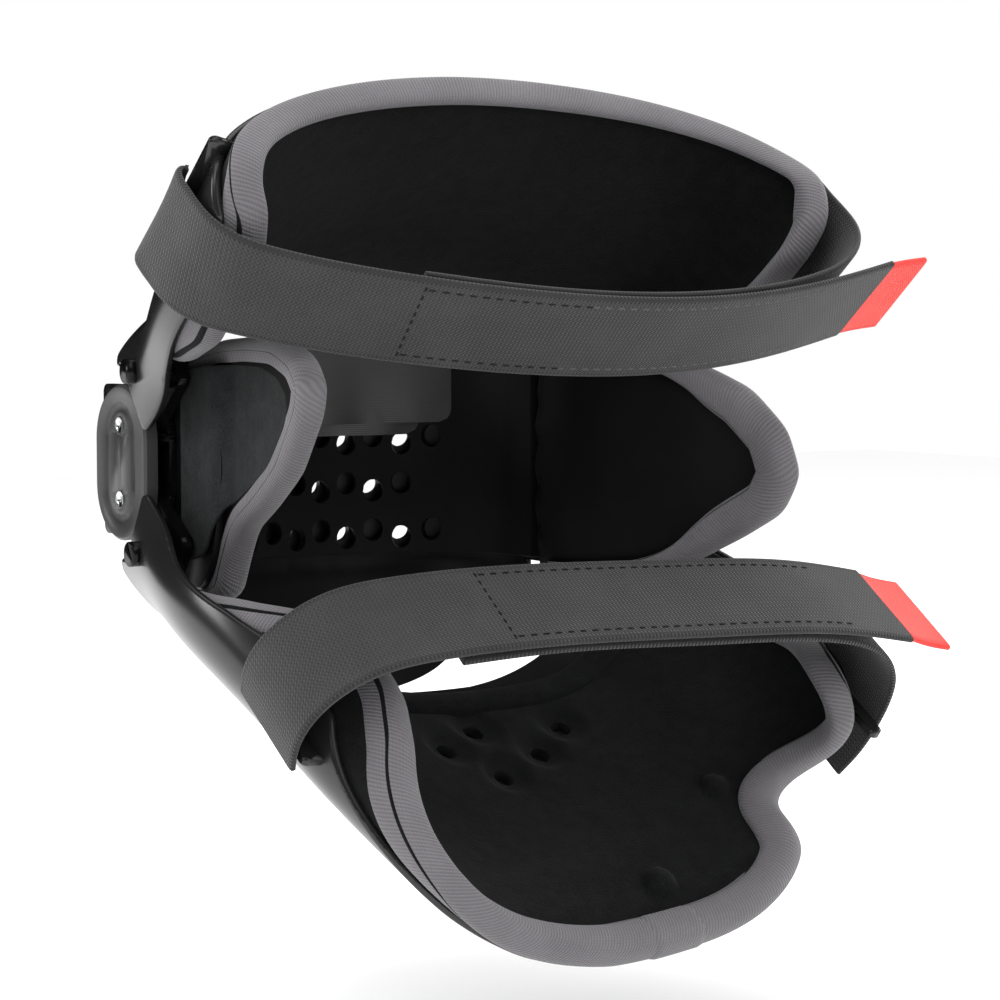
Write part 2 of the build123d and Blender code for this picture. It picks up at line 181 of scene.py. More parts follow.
def evenly(
    points: Array, spacing: float, measure: Array | None = None, closed: bool = False
) -> Array:
    """A path's points moved so that they lie at equal distances along it.

    Args:
        points: path points, one row each.
        spacing: wanted distance between points.
        measure: points that the distance is measured on, if not the path's own.
        closed: whether the last point joins the first.

    Returns:
        The new path, without a repeated end point if it is closed.
    """
    measure = points if measure is None else measure
    if closed:
        points = np.concatenate([points, points[:1]])
        measure = np.concatenate([measure, measure[:1]])
    run = np.concatenate([[0], np.cumsum(np.linalg.norm(np.diff(measure, axis=0), axis=1))])
    count = max(int(round(run[-1] / spacing)), 8) + 1
    stations = np.linspace(0, run[-1], count)
    path = np.stack([np.interp(stations, run, column) for column in points.T], axis=1)
    return path[:-1] if closed else path


def ease(share: Array) -> Array:
    """Smooth step: three times the square less twice the cube of a share, held between 0 and 1."""
    share = np.clip(share, 0, 1)
    return share**2 * (3 - 2 * share)


def soften(points: Array, passes: int, closed: bool = False) -> Array:
    """A path whose points are replaced by a quarter, a half and a quarter of three neighbours.

    Args:
        points: path points, one row each.
        passes: how many times that is done.
        closed: whether the last point joins the first; the ends of an open path stay.

    Returns:
        The smoothed path.
    """
    for _ in range(passes):
        mean = 0.25 * np.roll(points, 1, 0) + 0.5 * points + 0.25 * np.roll(points, -1, 0)
        if not closed:
            mean[0], mean[-1] = points[0], points[-1]
        points = mean
    return points


def along(points: Array, closed: bool) -> Array:
    """Unit direction of a path at each point, from the point before to the point after.

    Args:
        points: path points, one row each.
        closed: whether the last point joins the first.

    Returns:
        One unit vector for each point.
    """
    step = np.roll(points, -1, 0) - np.roll(points, 1, 0)
    if not closed:
        step[0] = points[1] - points[0]
        step[-1] = points[-1] - points[-2]
    return unit(step)


def distance_run(points: Array) -> Array:
    """Distance along a path from its first point to each point."""
    return np.concatenate([[0], np.cumsum(np.linalg.norm(np.diff(points, axis=0), axis=1))])


# ---------------------------------------------------------------- leaning frames and walls


@dataclass(frozen=True)
class LeanFrame:
    """A frame turned about the knee axis, on a pivot above or below the knee.

    Attributes:
        pivot: height of the pivot.
        lean: angle in degrees by which local Z leans back.
    """

    pivot: float
    lean: float

    def world(self, local: Array) -> Array:
        """Local points turned by the lean about X, then raised to the pivot.

        Args:
            local: (across, fore, height) rows.

        Returns:
            The points in the row frame.
        """
        angle = math.radians(self.lean)
        across, fore, height = local[..., 0], local[..., 1], local[..., 2]
        return np.stack(
            [
                across,
                fore * math.cos(angle) - height * math.sin(angle),
                self.pivot + fore * math.sin(angle) + height * math.cos(angle),
            ],
            axis=-1,
        )


class Wall(ABC):
    """A smooth wall given by two parameters and a depth that grows towards the leg.

    Attributes:
        reach: millimetres along the wall for one unit of u.
    """

    reach: float

    @abstractmethod
    def point(self, u: Array, v: Array, depth: Array | float) -> Array:
        """Points of the wall at parameters u and v and the given depth."""

    def inward(self, u: Array, v: Array) -> Array:
        """Unit direction of growing depth."""
        return unit(self.point(u, v, 1.0) - self.point(u, v, 0.0))

    def inside_of(self, path: Array, turn: float, closed: bool) -> Array:
        """Unit direction along the wall, square to a path, towards the area on its inner side.

        Args:
            path: (u, v) rows.
            turn: +1 if the outline runs anticlockwise in (u, v), -1 if clockwise.
            closed: whether the path closes.

        Returns:
            One unit vector for each row.
        """
        scale = np.array([self.reach, 1.0])
        ahead = along(path * scale, closed)
        left = np.stack([-ahead[:, 1], ahead[:, 0]], axis=1) * turn
        probe = path + 0.5 * left / scale
        here = self.point(path[:, 0], path[:, 1], 0.0)
        there = self.point(probe[:, 0], probe[:, 1], 0.0)
        forward = along(here, closed)
        sideways = there - here
        return unit(sideways - forward * np.sum(sideways * forward, axis=1, keepdims=True))


@dataclass
class LegWall(Wall):
    """Half tube round the leg: an ellipse at each height.

    The parameter u is the angle from the front and v the height along the frame.

    Attributes:
        frame: the leaning frame that the wall stands in.
        sections: height, half width, half depth, and centre across and fore, in rows.
    """

    frame: LeanFrame
    sections: Sequence[tuple[float, float, float, float, float]]
    reach: float = 100.0

    def __post_init__(self) -> None:
        """Prepares the spline of half width, half depth and centre over height."""
        table = np.array(self.sections, float)
        self.curve = NaturalCurve(table[:, 0], table[:, 1:])

    def local(self, u: Array, v: Array, depth: Array | float) -> Array:
        """Points of the wall in its own frame.

        Across is the centre plus the half width, less the depth, times the sine of u; fore is the
        centre plus the half depth, less the depth, times the cosine of u.

        Args:
            u: angles from the front.
            v: heights.
            depth: distance inwards.

        Returns:
            (across, fore, height) rows.
        """
        size = self.curve.at(v)
        across = size[..., 2] + (size[..., 0] - depth) * np.sin(u)
        fore = size[..., 3] + (size[..., 1] - depth) * np.cos(u)
        return np.stack(np.broadcast_arrays(across, fore, v), axis=-1)

    def point(self, u: Array, v: Array, depth: Array | float) -> Array:
        """The ellipse point, turned into the row frame."""
        return self.frame.world(self.local(u, v, depth))

    def loop(self, left: Points, right: Points, passes: int) -> Array:
        """Closed (angle, height) outline from the left and right side outlines.

        Each side outline gives fore-and-aft places and heights; the angle is the arc cosine of the
        place over the half depth. Places ahead of the wall's front lie off it and are left out.

        Args:
            left: (fore, height) rows of the left side.
            right: the same for the right side.
            passes: how often the side outlines are smoothed.

        Returns:
            Evenly spaced (u, v) rows that start at the lowest point.
        """
        edges = []
        for side, outline in ((-1, left), (1, right)):
            line = soften(evenly(np.array(outline, float), 1.0), passes)
            size = self.curve.at(line[:, 1])
            cosine = (line[:, 0] - size[:, 3]) / size[:, 1]
            on = cosine < 0.9995
            angle = side * np.arccos(np.clip(cosine, -1, 1))
            edges.append(np.stack([angle, line[:, 1]], axis=1)[on])
        path = np.concatenate([edges[0], edges[1][::-1]])
        path = evenly(path, 0.6, self.point(path[:, 0], path[:, 1], 0.0), closed=True)
        return np.roll(path, -int(path[:, 1].argmin()), axis=0)


class CupWall(LegWall):
    """The knee cup: half an ellipse in front that runs straight back along both sides."""

    def local(self, u: Array, v: Array, depth: Array | float) -> Array:
        """Ellipse up to a quarter turn from the front, then straight back by the rest of the angle.

        Args:
            u: angles from the front.
            v: heights.
            depth: distance inwards.

        Returns:
            (across, fore, height) rows.
        """
        size = self.curve.at(v)
        turn = np.clip(u, -math.pi / 2, math.pi / 2)
        across = size[..., 2] + (size[..., 0] - depth) * np.sin(turn)
        past = np.abs(u - turn) * size[..., 1]
        fore = size[..., 3] + (size[..., 1] - depth) * np.cos(turn) - past
        return np.stack(np.broadcast_arrays(across, fore, v), axis=-1)


@dataclass
class KneeWall(Wall):
    """One side of the knee cup and its rear wing; u is the fore-and-aft place, v the height.

    Attributes:
        side: left or right.
        spread: distance of the wing from the middle at its rear.
        slope: how fast it still spreads there.
        straight: place up to which the wall is a plane.
        rear: place of the wing's rear.
        half_width: distance of that plane from the middle.
    """

    side: Side
    spread: float
    slope: float
    straight: float = -24.0
    rear: float = -126.0
    half_width: float = CUP_HALF_WIDTH
    reach: float = 1.0

    def point(self, u: Array, v: Array, depth: Array | float) -> Array:
        """Plane beside the knee, then a cubic from its width to the wing's spread at the rear.

        Args:
            u: fore-and-aft places.
            v: heights.
            depth: distance inwards.

        Returns:
            Points in the row frame.
        """
        t = np.clip((self.straight - u) / (self.straight - self.rear), 0, 1.2)
        lead = t**2 * (3 - 2 * t)
        turn = t**3 - t**2
        across = self.half_width + (self.spread - self.half_width) * lead
        across = across + turn * self.slope * (self.straight - self.rear) - depth
        return np.stack(np.broadcast_arrays(self.side.value * across, u, v), axis=-1)


# ---------------------------------------------------------------- meshes


@dataclass
class Mesh:
    """Vertices in millimetres, faces and one texture place, in millimetres, for each vertex."""

    points: Array
    quads: Array
    place: Array

    def build(
        self, name: str, material: bpy.types.Material, smooth: float = 40.0
    ) -> bpy.types.Object:
        """Writes the mesh into a new object at the origin.

        Args:
            name: object and mesh name.
            material: its one material.
            smooth: faces meeting at a smaller angle than this are shaded as one surface.

        Returns:
            The object, linked to the scene.
        """
        data = bpy.data.meshes.new(name)
        corners = np.ascontiguousarray(self.quads, np.int32)
        data.vertices.add(len(self.points))
        data.vertices.foreach_set("co", (self.points * MM).astype(np.float32).ravel())
        data.loops.add(corners.size)
        data.loops.foreach_set("vertex_index", corners.ravel())
        data.polygons.add(len(corners))
        data.polygons.foreach_set("loop_start", np.arange(0, corners.size, 4, dtype=np.int32))
        layer = data.uv_layers.new(name="cloth")
        layer.data.foreach_set("uv", (self.place[corners.ravel()] / 100).astype(np.float32).ravel())
        data.update(calc_edges=True)
        data.validate()
        data.materials.append(material)
        data.shade_smooth()
        data.set_sharp_from_angle(angle=math.radians(smooth))
        piece = bpy.data.objects.new(name, data)
        bpy.context.scene.collection.objects.link(piece)
        return piece


def grid_quads(rows: int, columns: int, rows_close: bool, columns_close: bool) -> Array:
    """Faces of a rows by columns grid of vertices, each going round a cell's four corners.

    Args:
        rows: vertices in the first direction.
        columns: vertices in the second direction.
        rows_close: whether the last row joins the first.
        columns_close: whether the last column joins the first.

    Returns:
        Four vertex numbers for each face.
    """
    i = np.arange(rows if rows_close else rows - 1)[:, None]
    j = np.arange(columns if columns_close else columns - 1)[None, :]
    a = i * columns + j
    b = i * columns + (j + 1) % columns
    c = ((i + 1) % rows) * columns + (j + 1) % columns
    d = ((i + 1) % rows) * columns + j
    return np.stack(np.broadcast_arrays(a, b, c, d), axis=-1).reshape(-1, 4)


def outward(mesh: Mesh) -> Mesh:
    """The closed mesh with its faces turned, if needed, so that they enclose a positive volume.

    Args:
        mesh: a closed mesh.

    Returns:
        The same mesh.
    """
    corner = mesh.points[mesh.quads]
    first = np.einsum("ij,ij->i", corner[:, 0], np.cross(corner[:, 1], corner[:, 2])).sum()
    second = np.einsum("ij,ij->i", corner[:, 0], np.cross(corner[:, 2], corner[:, 3])).sum()
    if first + second < 0:
        mesh.quads = mesh.quads[:, ::-1]
    return mesh


def tube(
    centre: Array,
    first: Array,
    second: Array,
    profile: Array,
    closed: bool,
    slim: Array | None = None,
) -> Mesh:
    """A profile carried along a path.

    Each vertex is the path's point plus the profile's first number times one direction plus its
    second times the other. An open tube ends in small domes: extra rings shrink towards the path
    as a quarter circle.

    Args:
        centre: path points.
        first: first direction of the profile at each path point.
        second: second direction.
        profile: closed profile, (first, second) rows.
        closed: whether the path closes.
        slim: share of the profile's first number that is kept at each path point.

    Returns:
        The closed mesh.
    """
    scale = np.ones(len(centre))
    slim = scale if slim is None else slim
    if not closed:
        bow = np.array([0.02, 0.38, 0.7, 0.92])
        rings = len(bow)
        push = np.array([0.5, 0.46, 0.35, 0.19]) * np.ptp(profile[:, 1])
        ahead = along(centre, False)
        head = centre[:1] - ahead[:1] * push[:, None]
        tail = centre[-1:] + ahead[-1:] * push[::-1, None]
        centre = np.concatenate([head, centre, tail])
        first, second, slim = (
            np.concatenate([np.repeat(table[:1], rings, 0), table, np.repeat(table[-1:], rings, 0)])
            for table in (first, second, slim)
        )
        scale = np.concatenate([bow, scale, bow[::-1]])
    ring = profile[None] * scale[:, None, None]
    wide = ring[..., :1] * slim[:, None, None]
    points = centre[:, None] + wide * first[:, None] + ring[..., 1:] * second[:, None]
    run = np.broadcast_to(distance_run(centre)[:, None], points.shape[:2])
    girth = distance_run(np.concatenate([profile, profile[:1]]))[None, :-1]
    girth = np.broadcast_to(girth, points.shape[:2])
    quads = grid_quads(*points.shape[:2], closed, True)
    place = np.stack([run, girth], axis=-1).reshape(-1, 2)
    return outward(Mesh(points.reshape(-1, 3), quads, place))


def rounded(half_width: float, half_height: float, power: float, count: int) -> Array:
    """Superellipse profile: half sizes times the cosine and sine raised to 2 over the power.

    Args:
        half_width: reach along the profile's first direction.
        half_height: reach along its second direction.
        power: 2 for an ellipse; more is squarer.
        count: number of points.

    Returns:
        (first, second) rows.
    """
    turn = np.linspace(0, 2 * math.pi, count, endpoint=False)
    wide = np.sign(np.cos(turn)) * np.abs(np.cos(turn)) ** (2 / power)
    high = np.sign(np.sin(turn)) * np.abs(np.sin(turn)) ** (2 / power)
    return np.stack([half_width * wide, half_height * high], axis=1)


def batches(count: int) -> list[Array]:
    """Numbers from 0 to the count, split so that no table of spots by outline grows too large."""
    return np.array_split(np.arange(count), max(count // 2000, 1))


def within(outline: Array, spots: Array) -> Array:
    """Whether each spot lies inside: a line up from it crosses the outline an odd number of times.

    Args:
        outline: closed outline, one row for each point.
        spots: the places tested.

    Returns:
        One truth value for each spot.
    """
    start, end = outline, np.roll(outline, -1, 0)
    answer = np.zeros(len(spots), bool)
    for part in batches(len(spots)):
        x, y = spots[part, 0:1], spots[part, 1:2]
        spans = (start[None, :, 0] > x) != (end[None, :, 0] > x)
        run = np.where(end[:, 0] == start[:, 0], 1, end[:, 0] - start[:, 0])
        slope = (end - start)[None, :, 1] / run[None]
        level = start[None, :, 1] + (x - start[None, :, 0]) * slope
        answer[part] = (spans & (y < level)).sum(1) % 2 == 1
    return answer


def nearest(outline: Array, spots: Array) -> tuple[Array, Array]:
    """The outline point nearest to each spot.

    Args:
        outline: points, one row each.
        spots: the places tested.

    Returns:
        The number of that point and its distance, for each spot.
    """
    number = np.zeros(len(spots), int)
    far = np.zeros(len(spots))
    for part in batches(len(spots)):
        gap = np.linalg.norm(spots[part, None] - outline[None], axis=2)
        number[part] = gap.argmin(1)
        far[part] = gap.min(1)
    return number, far


@dataclass
class CutSheet:
    """A wall's area inside an outline, on a grid whose outermost vertices lie on the outline.

    Attributes:
        uv: each vertex's place on the wall.
        quads: four vertex numbers for each face.
        inset: each vertex's distance from the outline or from a hole's edge.
        rim: the two vertex numbers of each open edge.
    """

    uv: Array
    quads: Array
    inset: Array
    rim: Array

    @classmethod
    def cut(
        cls,
        wall: Wall,
        outline: Array,
        spacing: float,
        holes: Array | None = None,
        hole_radius: float = 0.0,
    ) -> "CutSheet":
        """Cuts the wall along the outline and round holes.

        A grid of vertices covers the outline's box. Faces with a vertex inside are kept, and their
        vertices outside move to the nearest point of the outline, or straight out to a hole's edge.

        Args:
            wall: the wall that is cut.
            outline: closed (u, v) rows.
            spacing: grid spacing in millimetres.
            holes: hole centres as points on the wall.
            hole_radius: their radius.

        Returns:
            The cut sheet.
        """
        low, high = outline.min(0), outline.max(0)
        across = int((high[0] - low[0]) * wall.reach / spacing) + 2
        up = int((high[1] - low[1]) / spacing) + 2
        u, v = np.meshgrid(np.linspace(low[0], high[0], across), np.linspace(low[1], high[1], up))
        spots = np.stack([u.ravel(), v.ravel()], axis=1)
        solid = wall.point(spots[:, 0], spots[:, 1], 0.0)
        number, far = nearest(wall.point(outline[:, 0], outline[:, 1], 0.0), solid)
        inside = within(outline, spots)
        moved = np.where(inside[:, None], spots, outline[number])
        if holes is not None:
            which, away = nearest(holes, solid)
            holed = away < hole_radius
            step = 0.01
            run_u = (wall.point(spots[:, 0] + step, spots[:, 1], 0.0) - solid) / step
            run_v = (wall.point(spots[:, 0], spots[:, 1] + step, 0.0) - solid) / step
            out = unit(solid - holes[which]) * (hole_radius - away)[:, None]
            shift = np.stack(
                [
                    np.sum(out * run_u, 1) / np.sum(run_u**2, 1),
                    np.sum(out * run_v, 1) / np.sum(run_v**2, 1),
                ],
                axis=1,
            )
            moved = np.where((holed & inside)[:, None], spots + shift, moved)
            inside &= ~holed
            far = np.minimum(far, np.abs(away - hole_radius))
        quads = grid_quads(up, across, False, False)
        quads = quads[inside[quads].any(1)]
        used, compact = np.unique(quads, return_inverse=True)
        quads = compact.reshape(-1, 4)
        edges = np.stack([quads, np.roll(quads, -1, 1)], axis=-1).reshape(-1, 2)
        key = np.sort(edges, 1)
        joined = key[:, 0] * len(used) + key[:, 1]
        _, back, times = np.unique(joined, return_inverse=True, return_counts=True)
        inset = np.where(inside[used], far[used], 0.0)
        return cls(moved[used], quads, inset, edges[times[back] == 1])

    def thicken(self, wall: Wall, outer: Array, inner: Array, bulge: float) -> Mesh:
        """Closed solid between two depths, with a rounded rim.

        The rim's rings run from one depth to the other on a half circle, pushed out along the
        sheet, square to the rim's edges, by the sine of the turn times the bulge.

        Args:
            wall: the sheet's wall.
            outer: depth of each vertex on the side away from the leg.
            inner: depth on the leg's side.
            bulge: how far the rim is pushed out.

        Returns:
            The closed mesh.
        """
        u, v = self.uv[:, 0], self.uv[:, 1]
        top = wall.point(u, v, outer)
        bottom = wall.point(u, v, inner)
        rim_points, compact = np.unique(self.rim, return_inverse=True)
        edges = compact.reshape(-1, 2)
        deep = wall.inward(u, v)[rim_points]
        edge = top[self.rim[:, 1]] - top[self.rim[:, 0]]
        push = np.zeros((len(rim_points), 3))
        for end in (0, 1):
            np.add.at(push, edges[:, end], np.cross(edge, deep[edges[:, end]]))
        centre = top[self.quads].mean(1)
        middle = np.zeros((len(top), 3))
        share = np.zeros(len(top))
        for corner in range(4):
            np.add.at(middle, self.quads[:, corner], centre)
            np.add.at(share, self.quads[:, corner], 1)
        away = top[rim_points] - (middle / share[:, None])[rim_points]
        push = unit(push)
        push *= np.sign(np.sum(push * away, axis=1))[:, None]
        turns = np.linspace(0, math.pi, 6)[1:-1]
        rings = [
            top[rim_points] * (1 + math.cos(t)) / 2 + bottom[rim_points] * (1 - math.cos(t)) / 2
            + push * bulge * math.sin(t)
            for t in turns
        ]
        count, size = len(top), len(rim_points)
        rows = [rim_points] + [2 * count + k * size + np.arange(size) for k in range(len(turns))]
        rows.append(count + rim_points)
        sides = [
            np.stack(
                [upper[edges[:, 1]], upper[edges[:, 0]], lower[edges[:, 0]], lower[edges[:, 1]]],
                axis=1,
            )
            for upper, lower in zip(rows[:-1], rows[1:])
        ]
        quads = np.concatenate([self.quads, self.quads[:, ::-1] + count] + sides)
        flat = self.uv * np.array([wall.reach, 1.0])
        place = np.concatenate([flat, flat] + [flat[rim_points]] * len(turns))
        return outward(Mesh(np.concatenate([top, bottom] + rings), quads, place))


# ---------------------------------------------------------------- node maths


class Signal:
    """One socket's value, with the arithmetic that the finishes use."""

    def __init__(self, graph: "Graph", socket: bpy.types.NodeSocket) -> None:
        """Keeps the graph that new nodes go to and the socket."""
        self.graph = graph
        self.socket = socket

    def __add__(self, other: "Signal | float") -> "Signal":
        """Sum."""
        return self.graph.number("ADD", self, other)

    def __radd__(self, other: float) -> "Signal":
        """Sum, reflected."""
        return self.graph.number("ADD", other, self)

    def __sub__(self, other: "Signal | float") -> "Signal":
        """Difference."""
        return self.graph.number("SUBTRACT", self, other)

    def __rsub__(self, other: float) -> "Signal":
        """Difference, reflected."""
        return self.graph.number("SUBTRACT", other, self)

    def __mul__(self, other: "Signal | float") -> "Signal":
        """Product."""
        return self.graph.number("MULTIPLY", self, other)

    def __rmul__(self, other: float) -> "Signal":
        """Product, reflected."""
        return self.graph.number("MULTIPLY", other, self)

    def wave(self) -> "Signal":
        """Sine."""
        return self.graph.number("SINE", self, 0.0)

    def size(self) -> "Signal":
        """Absolute value."""
        return self.graph.number("ABSOLUTE", self, 0.0)

    def step(self, low: float, high: float) -> "Signal":
        """Smooth rise from 0 to 1.

        Args:
            low: value at which it starts.
            high: value at which it ends.

        Returns:
            The share between them.
        """
        return self.graph.add(
            "ShaderNodeMapRange",
            {"interpolation_type": "SMOOTHSTEP"},
            {"Value": self, "From Min": low, "From Max": high},
        )


class Graph:
    """A material's node tree with one shader, built through one method for every node."""

    def __init__(self, name: str) -> None:
        """Makes the material and its shader.

        Args:
            name: the material's name.
        """
        self.material = bpy.data.materials.new(name)
        self.material.use_nodes = True
        self.tree = self.material.node_tree
        self.tree.nodes.clear()
        self.shader = self.tree.nodes.new("ShaderNodeBsdfPrincipled")
        output = self.tree.nodes.new("ShaderNodeOutputMaterial")
        self.tree.links.new(self.shader.outputs[0], output.inputs[0])

    def feed(self, socket: bpy.types.NodeSocket, value: Any) -> None:
        """Links a signal to a socket, or sets a plain value on it.

        Args:
            socket: an input of a node.
            value: a signal, or a number, colour or vector.
        """
        if isinstance(value, Signal):
            self.tree.links.new(value.socket, socket)
        else:
            socket.default_value = value

    def add(
        self,
        kind: str,
        settings: dict[str, Any] | None = None,
        inputs: dict[Any, Any] | None = None,
        output: int | str = 0,
    ) -> Signal:
        """Adds any node.

        Args:
            kind: the node's type.
            settings: its properties, set first; "stops" holds a ramp's (place, colour) pairs.
            inputs: values or signals by socket name or number.
            output: which output is returned.

        Returns:
            That output.
        """
        node = self.tree.nodes.new(kind)
        for key, value in (settings or {}).items():
            if key == "stops":
                ramp = node.color_ramp.elements
                while len(ramp) < len(value):
                    ramp.new(1.0)
                for element, (spot, colour) in zip(ramp, value):
                    element.position = spot
                    element.color = colour
            else:
                setattr(node, key, value)
        for key, value in (inputs or {}).items():
            self.feed(node.inputs[key], value)
        return Signal(self, node.outputs[output])

    def number(self, operation: str, first: Signal | float, second: Signal | float) -> Signal:
        """One Math node."""
        return self.add("ShaderNodeMath", {"operation": operation}, {0: first, 1: second})

    def mixed(self, share: Signal | float, first: Any, second: Any) -> Signal:
        """Colour between two, by a share from 0 to 1."""
        return self.add(
            "ShaderNodeMix", {"data_type": "RGBA"}, {"Factor": share, 6: first, 7: second}, output=2
        )

    def cloud(
        self, scale: float, detail: float = 2.0, stretch: tuple[float, float, float] = (1, 1, 1)
    ) -> Signal:
        """Noise in the object's own space.

        Args:
            scale: how many clouds lie in a metre.
            detail: how many finer noises are added.
            stretch: factors on the three axes.

        Returns:
            Values round a half.
        """
        where = self.add("ShaderNodeTexCoord", output="Object")
        turned = self.add("ShaderNodeMapping", inputs={"Vector": where, "Scale": stretch})
        return self.add(
            "ShaderNodeTexNoise", inputs={"Vector": turned, "Scale": scale, "Detail": detail}
        )

    def cloth_place(self) -> tuple[Signal, Signal]:
        """Place on a piece of cloth.

        Returns:
            Millimetres along the piece and across it.
        """
        where = self.add("ShaderNodeUVMap", {"uv_map": "cloth"})
        split = self.add("ShaderNodeSeparateXYZ", inputs={"Vector": where})
        second = Signal(self, split.socket.node.outputs[1])
        return split * 100.0, second * 100.0

    def bump(self, height: Signal, depth: float, strength: float = 1.0) -> None:
        """Feeds the shader's normal from a height.

        Args:
            height: the height, as a share of the depth.
            depth: millimetres for a height of one.
            strength: share of the effect.
        """
        normal = self.add(
            "ShaderNodeBump",
            inputs={"Strength": strength, "Distance": depth * MM, "Height": height},
        )
        self.feed(self.shader.inputs["Normal"], normal)

    def surface(self, **sockets: Any) -> bpy.types.Material:
        """Sets the shader's sockets.

        Args:
            sockets: values or signals by socket name, with underscores for spaces.

        Returns:
            The material.
        """
        for key, value in sockets.items():
            self.feed(self.shader.inputs[key.replace("_", " ")], value)
        return self.material


Colour = tuple[float, float, float, float]


def grey(level: float, warm: float = 0.0) -> Colour:
    """Near-neutral colour with a slight warm or cool cast."""
    return (level * (1 + warm), level, level * (1 - warm), 1.0)


@dataclass(frozen=True)
class Finish(ABC):
    """A surface finish; making it twice gives the same material."""

    name: str

    @abstractmethod
    def make(self) -> bpy.types.Material:
        """Builds the material."""

    def material(self) -> bpy.types.Material:
        """The finish's material, built when first asked for."""
        return bpy.data.materials.get(self.name) or self.make()


@dataclass(frozen=True)
class Moulded(Finish):
    """Moulded polymer: even colour, faint cloudiness, fine grain and rubbed patches."""

    colour: Colour
    roughness: float
    grain: float = 0.02
    grain_scale: float = 2600.0
    coat: float = 0.0
    rubbed: float = 0.12
    gloss: float = 0.5

    def make(self) -> bpy.types.Material:
        """Colour and roughness drift with a cloud; scuffs are a stretched noise's narrow band.

        Returns:
            The material.
        """
        graph = Graph(self.name)
        drift = graph.cloud(26.0, 4.0)
        grain = graph.cloud(self.grain_scale, 1.0)
        hair = (graph.cloud(160.0, 3.0, (1.0, 7.0, 1.6)) - 0.5).size()
        scuff = (1 - hair.step(0.0, 0.012)) * drift.step(0.5, 0.72)
        lifted = tuple(min(1.0, c * 1.6 + 0.004) for c in self.colour[:3]) + (1.0,)
        base = graph.mixed(drift.step(0.3, 0.8) * 0.5 + scuff * 0.4, self.colour, lifted)
        rough = self.roughness + (drift - 0.5) * self.rubbed + scuff * 0.12
        graph.bump(grain + scuff * -0.4, self.grain)
        return graph.surface(
            Base_Color=base,
            Roughness=rough,
            Coat_Weight=self.coat,
            Coat_Roughness=0.06,
            Specular_IOR_Level=self.gloss,
        )


@dataclass(frozen=True)
class Metal(Finish):
    """Plated or coated metal with fine turning marks."""

    colour: Colour
    roughness: float
    metallic: float = 1.0
    gloss: float = 0.5

    def make(self) -> bpy.types.Material:
        """Roughness follows a fine noise drawn out along the parts' plane.

        Returns:
            The material.
        """
        graph = Graph(self.name)
        marks = graph.cloud(900.0, 2.0, (4.0, 1.0, 1.0))
        drift = graph.cloud(60.0, 3.0)
        darker = tuple(c * 0.7 for c in self.colour[:3]) + (1.0,)
        graph.bump(marks, 0.015)
        return graph.surface(
            Base_Color=graph.mixed(drift.step(0.35, 0.75), self.colour, darker),
            Roughness=self.roughness + (marks - 0.5) * 0.16,
            Metallic=self.metallic,
            Specular_IOR_Level=self.gloss,
        )


@dataclass(frozen=True)
class BrushedKnit(Finish):
    """Brushed knit over foam: short fibres as fine noise, with pressed and lifted patches."""

    dark: Colour
    light: Colour

    def make(self) -> bpy.types.Material:
        """Clouds of fibres, nap and patches mix the colours; fibres and nap raise the surface.

        Returns:
            The material.
        """
        graph = Graph(self.name)
        fibre = graph.cloud(1500.0, 3.0, (1.0, 1.0, 1.6))
        nap = graph.cloud(210.0, 4.0)
        patch = graph.cloud(34.0, 3.0)
        share = fibre.step(0.3, 0.75) * 0.55 + nap.step(0.3, 0.8) * 0.3
        share = share + patch.step(0.35, 0.8) * 0.2
        graph.bump(fibre * 0.6 + nap * 0.7, 0.35)
        return graph.surface(
            Base_Color=graph.mixed(share, self.dark, self.light),
            Roughness=0.96 - patch * 0.08,
            Sheen_Weight=0.05,
            Sheen_Roughness=0.5,
            Specular_IOR_Level=0.08,
        )


@dataclass(frozen=True)
class RibbedTape(Finish):
    """Binding tape of fine twill: slanted ribs across the tape, a little wear and soft creases."""

    dark: Colour
    light: Colour
    pitch: float = 1.15

    def make(self) -> bpy.types.Material:
        """Rib height is the sine of the place along plus a share of the place across.

        Returns:
            The material.
        """
        graph = Graph(self.name)
        run, across = graph.cloth_place()
        rate = 2 * math.pi / self.pitch
        rib = ((run + across * 0.35) * rate).wave() * 0.5 + 0.5
        thread = (across * (rate * 1.3)).wave() * 0.5 + 0.5
        fibre = graph.cloud(1400.0, 2.0)
        soil = graph.cloud(45.0, 4.0)
        share = rib * 0.45 + thread * 0.12 + fibre * 0.25 + soil.step(0.3, 0.8) * 0.25
        graph.bump(rib * 0.6 + thread * 0.2 + fibre * 0.4, 0.22)
        return graph.surface(
            Base_Color=graph.mixed(share, self.dark, self.light),
            Roughness=0.84 - soil * 0.1,
            Sheen_Weight=0.2,
            Specular_IOR_Level=0.3,
        )


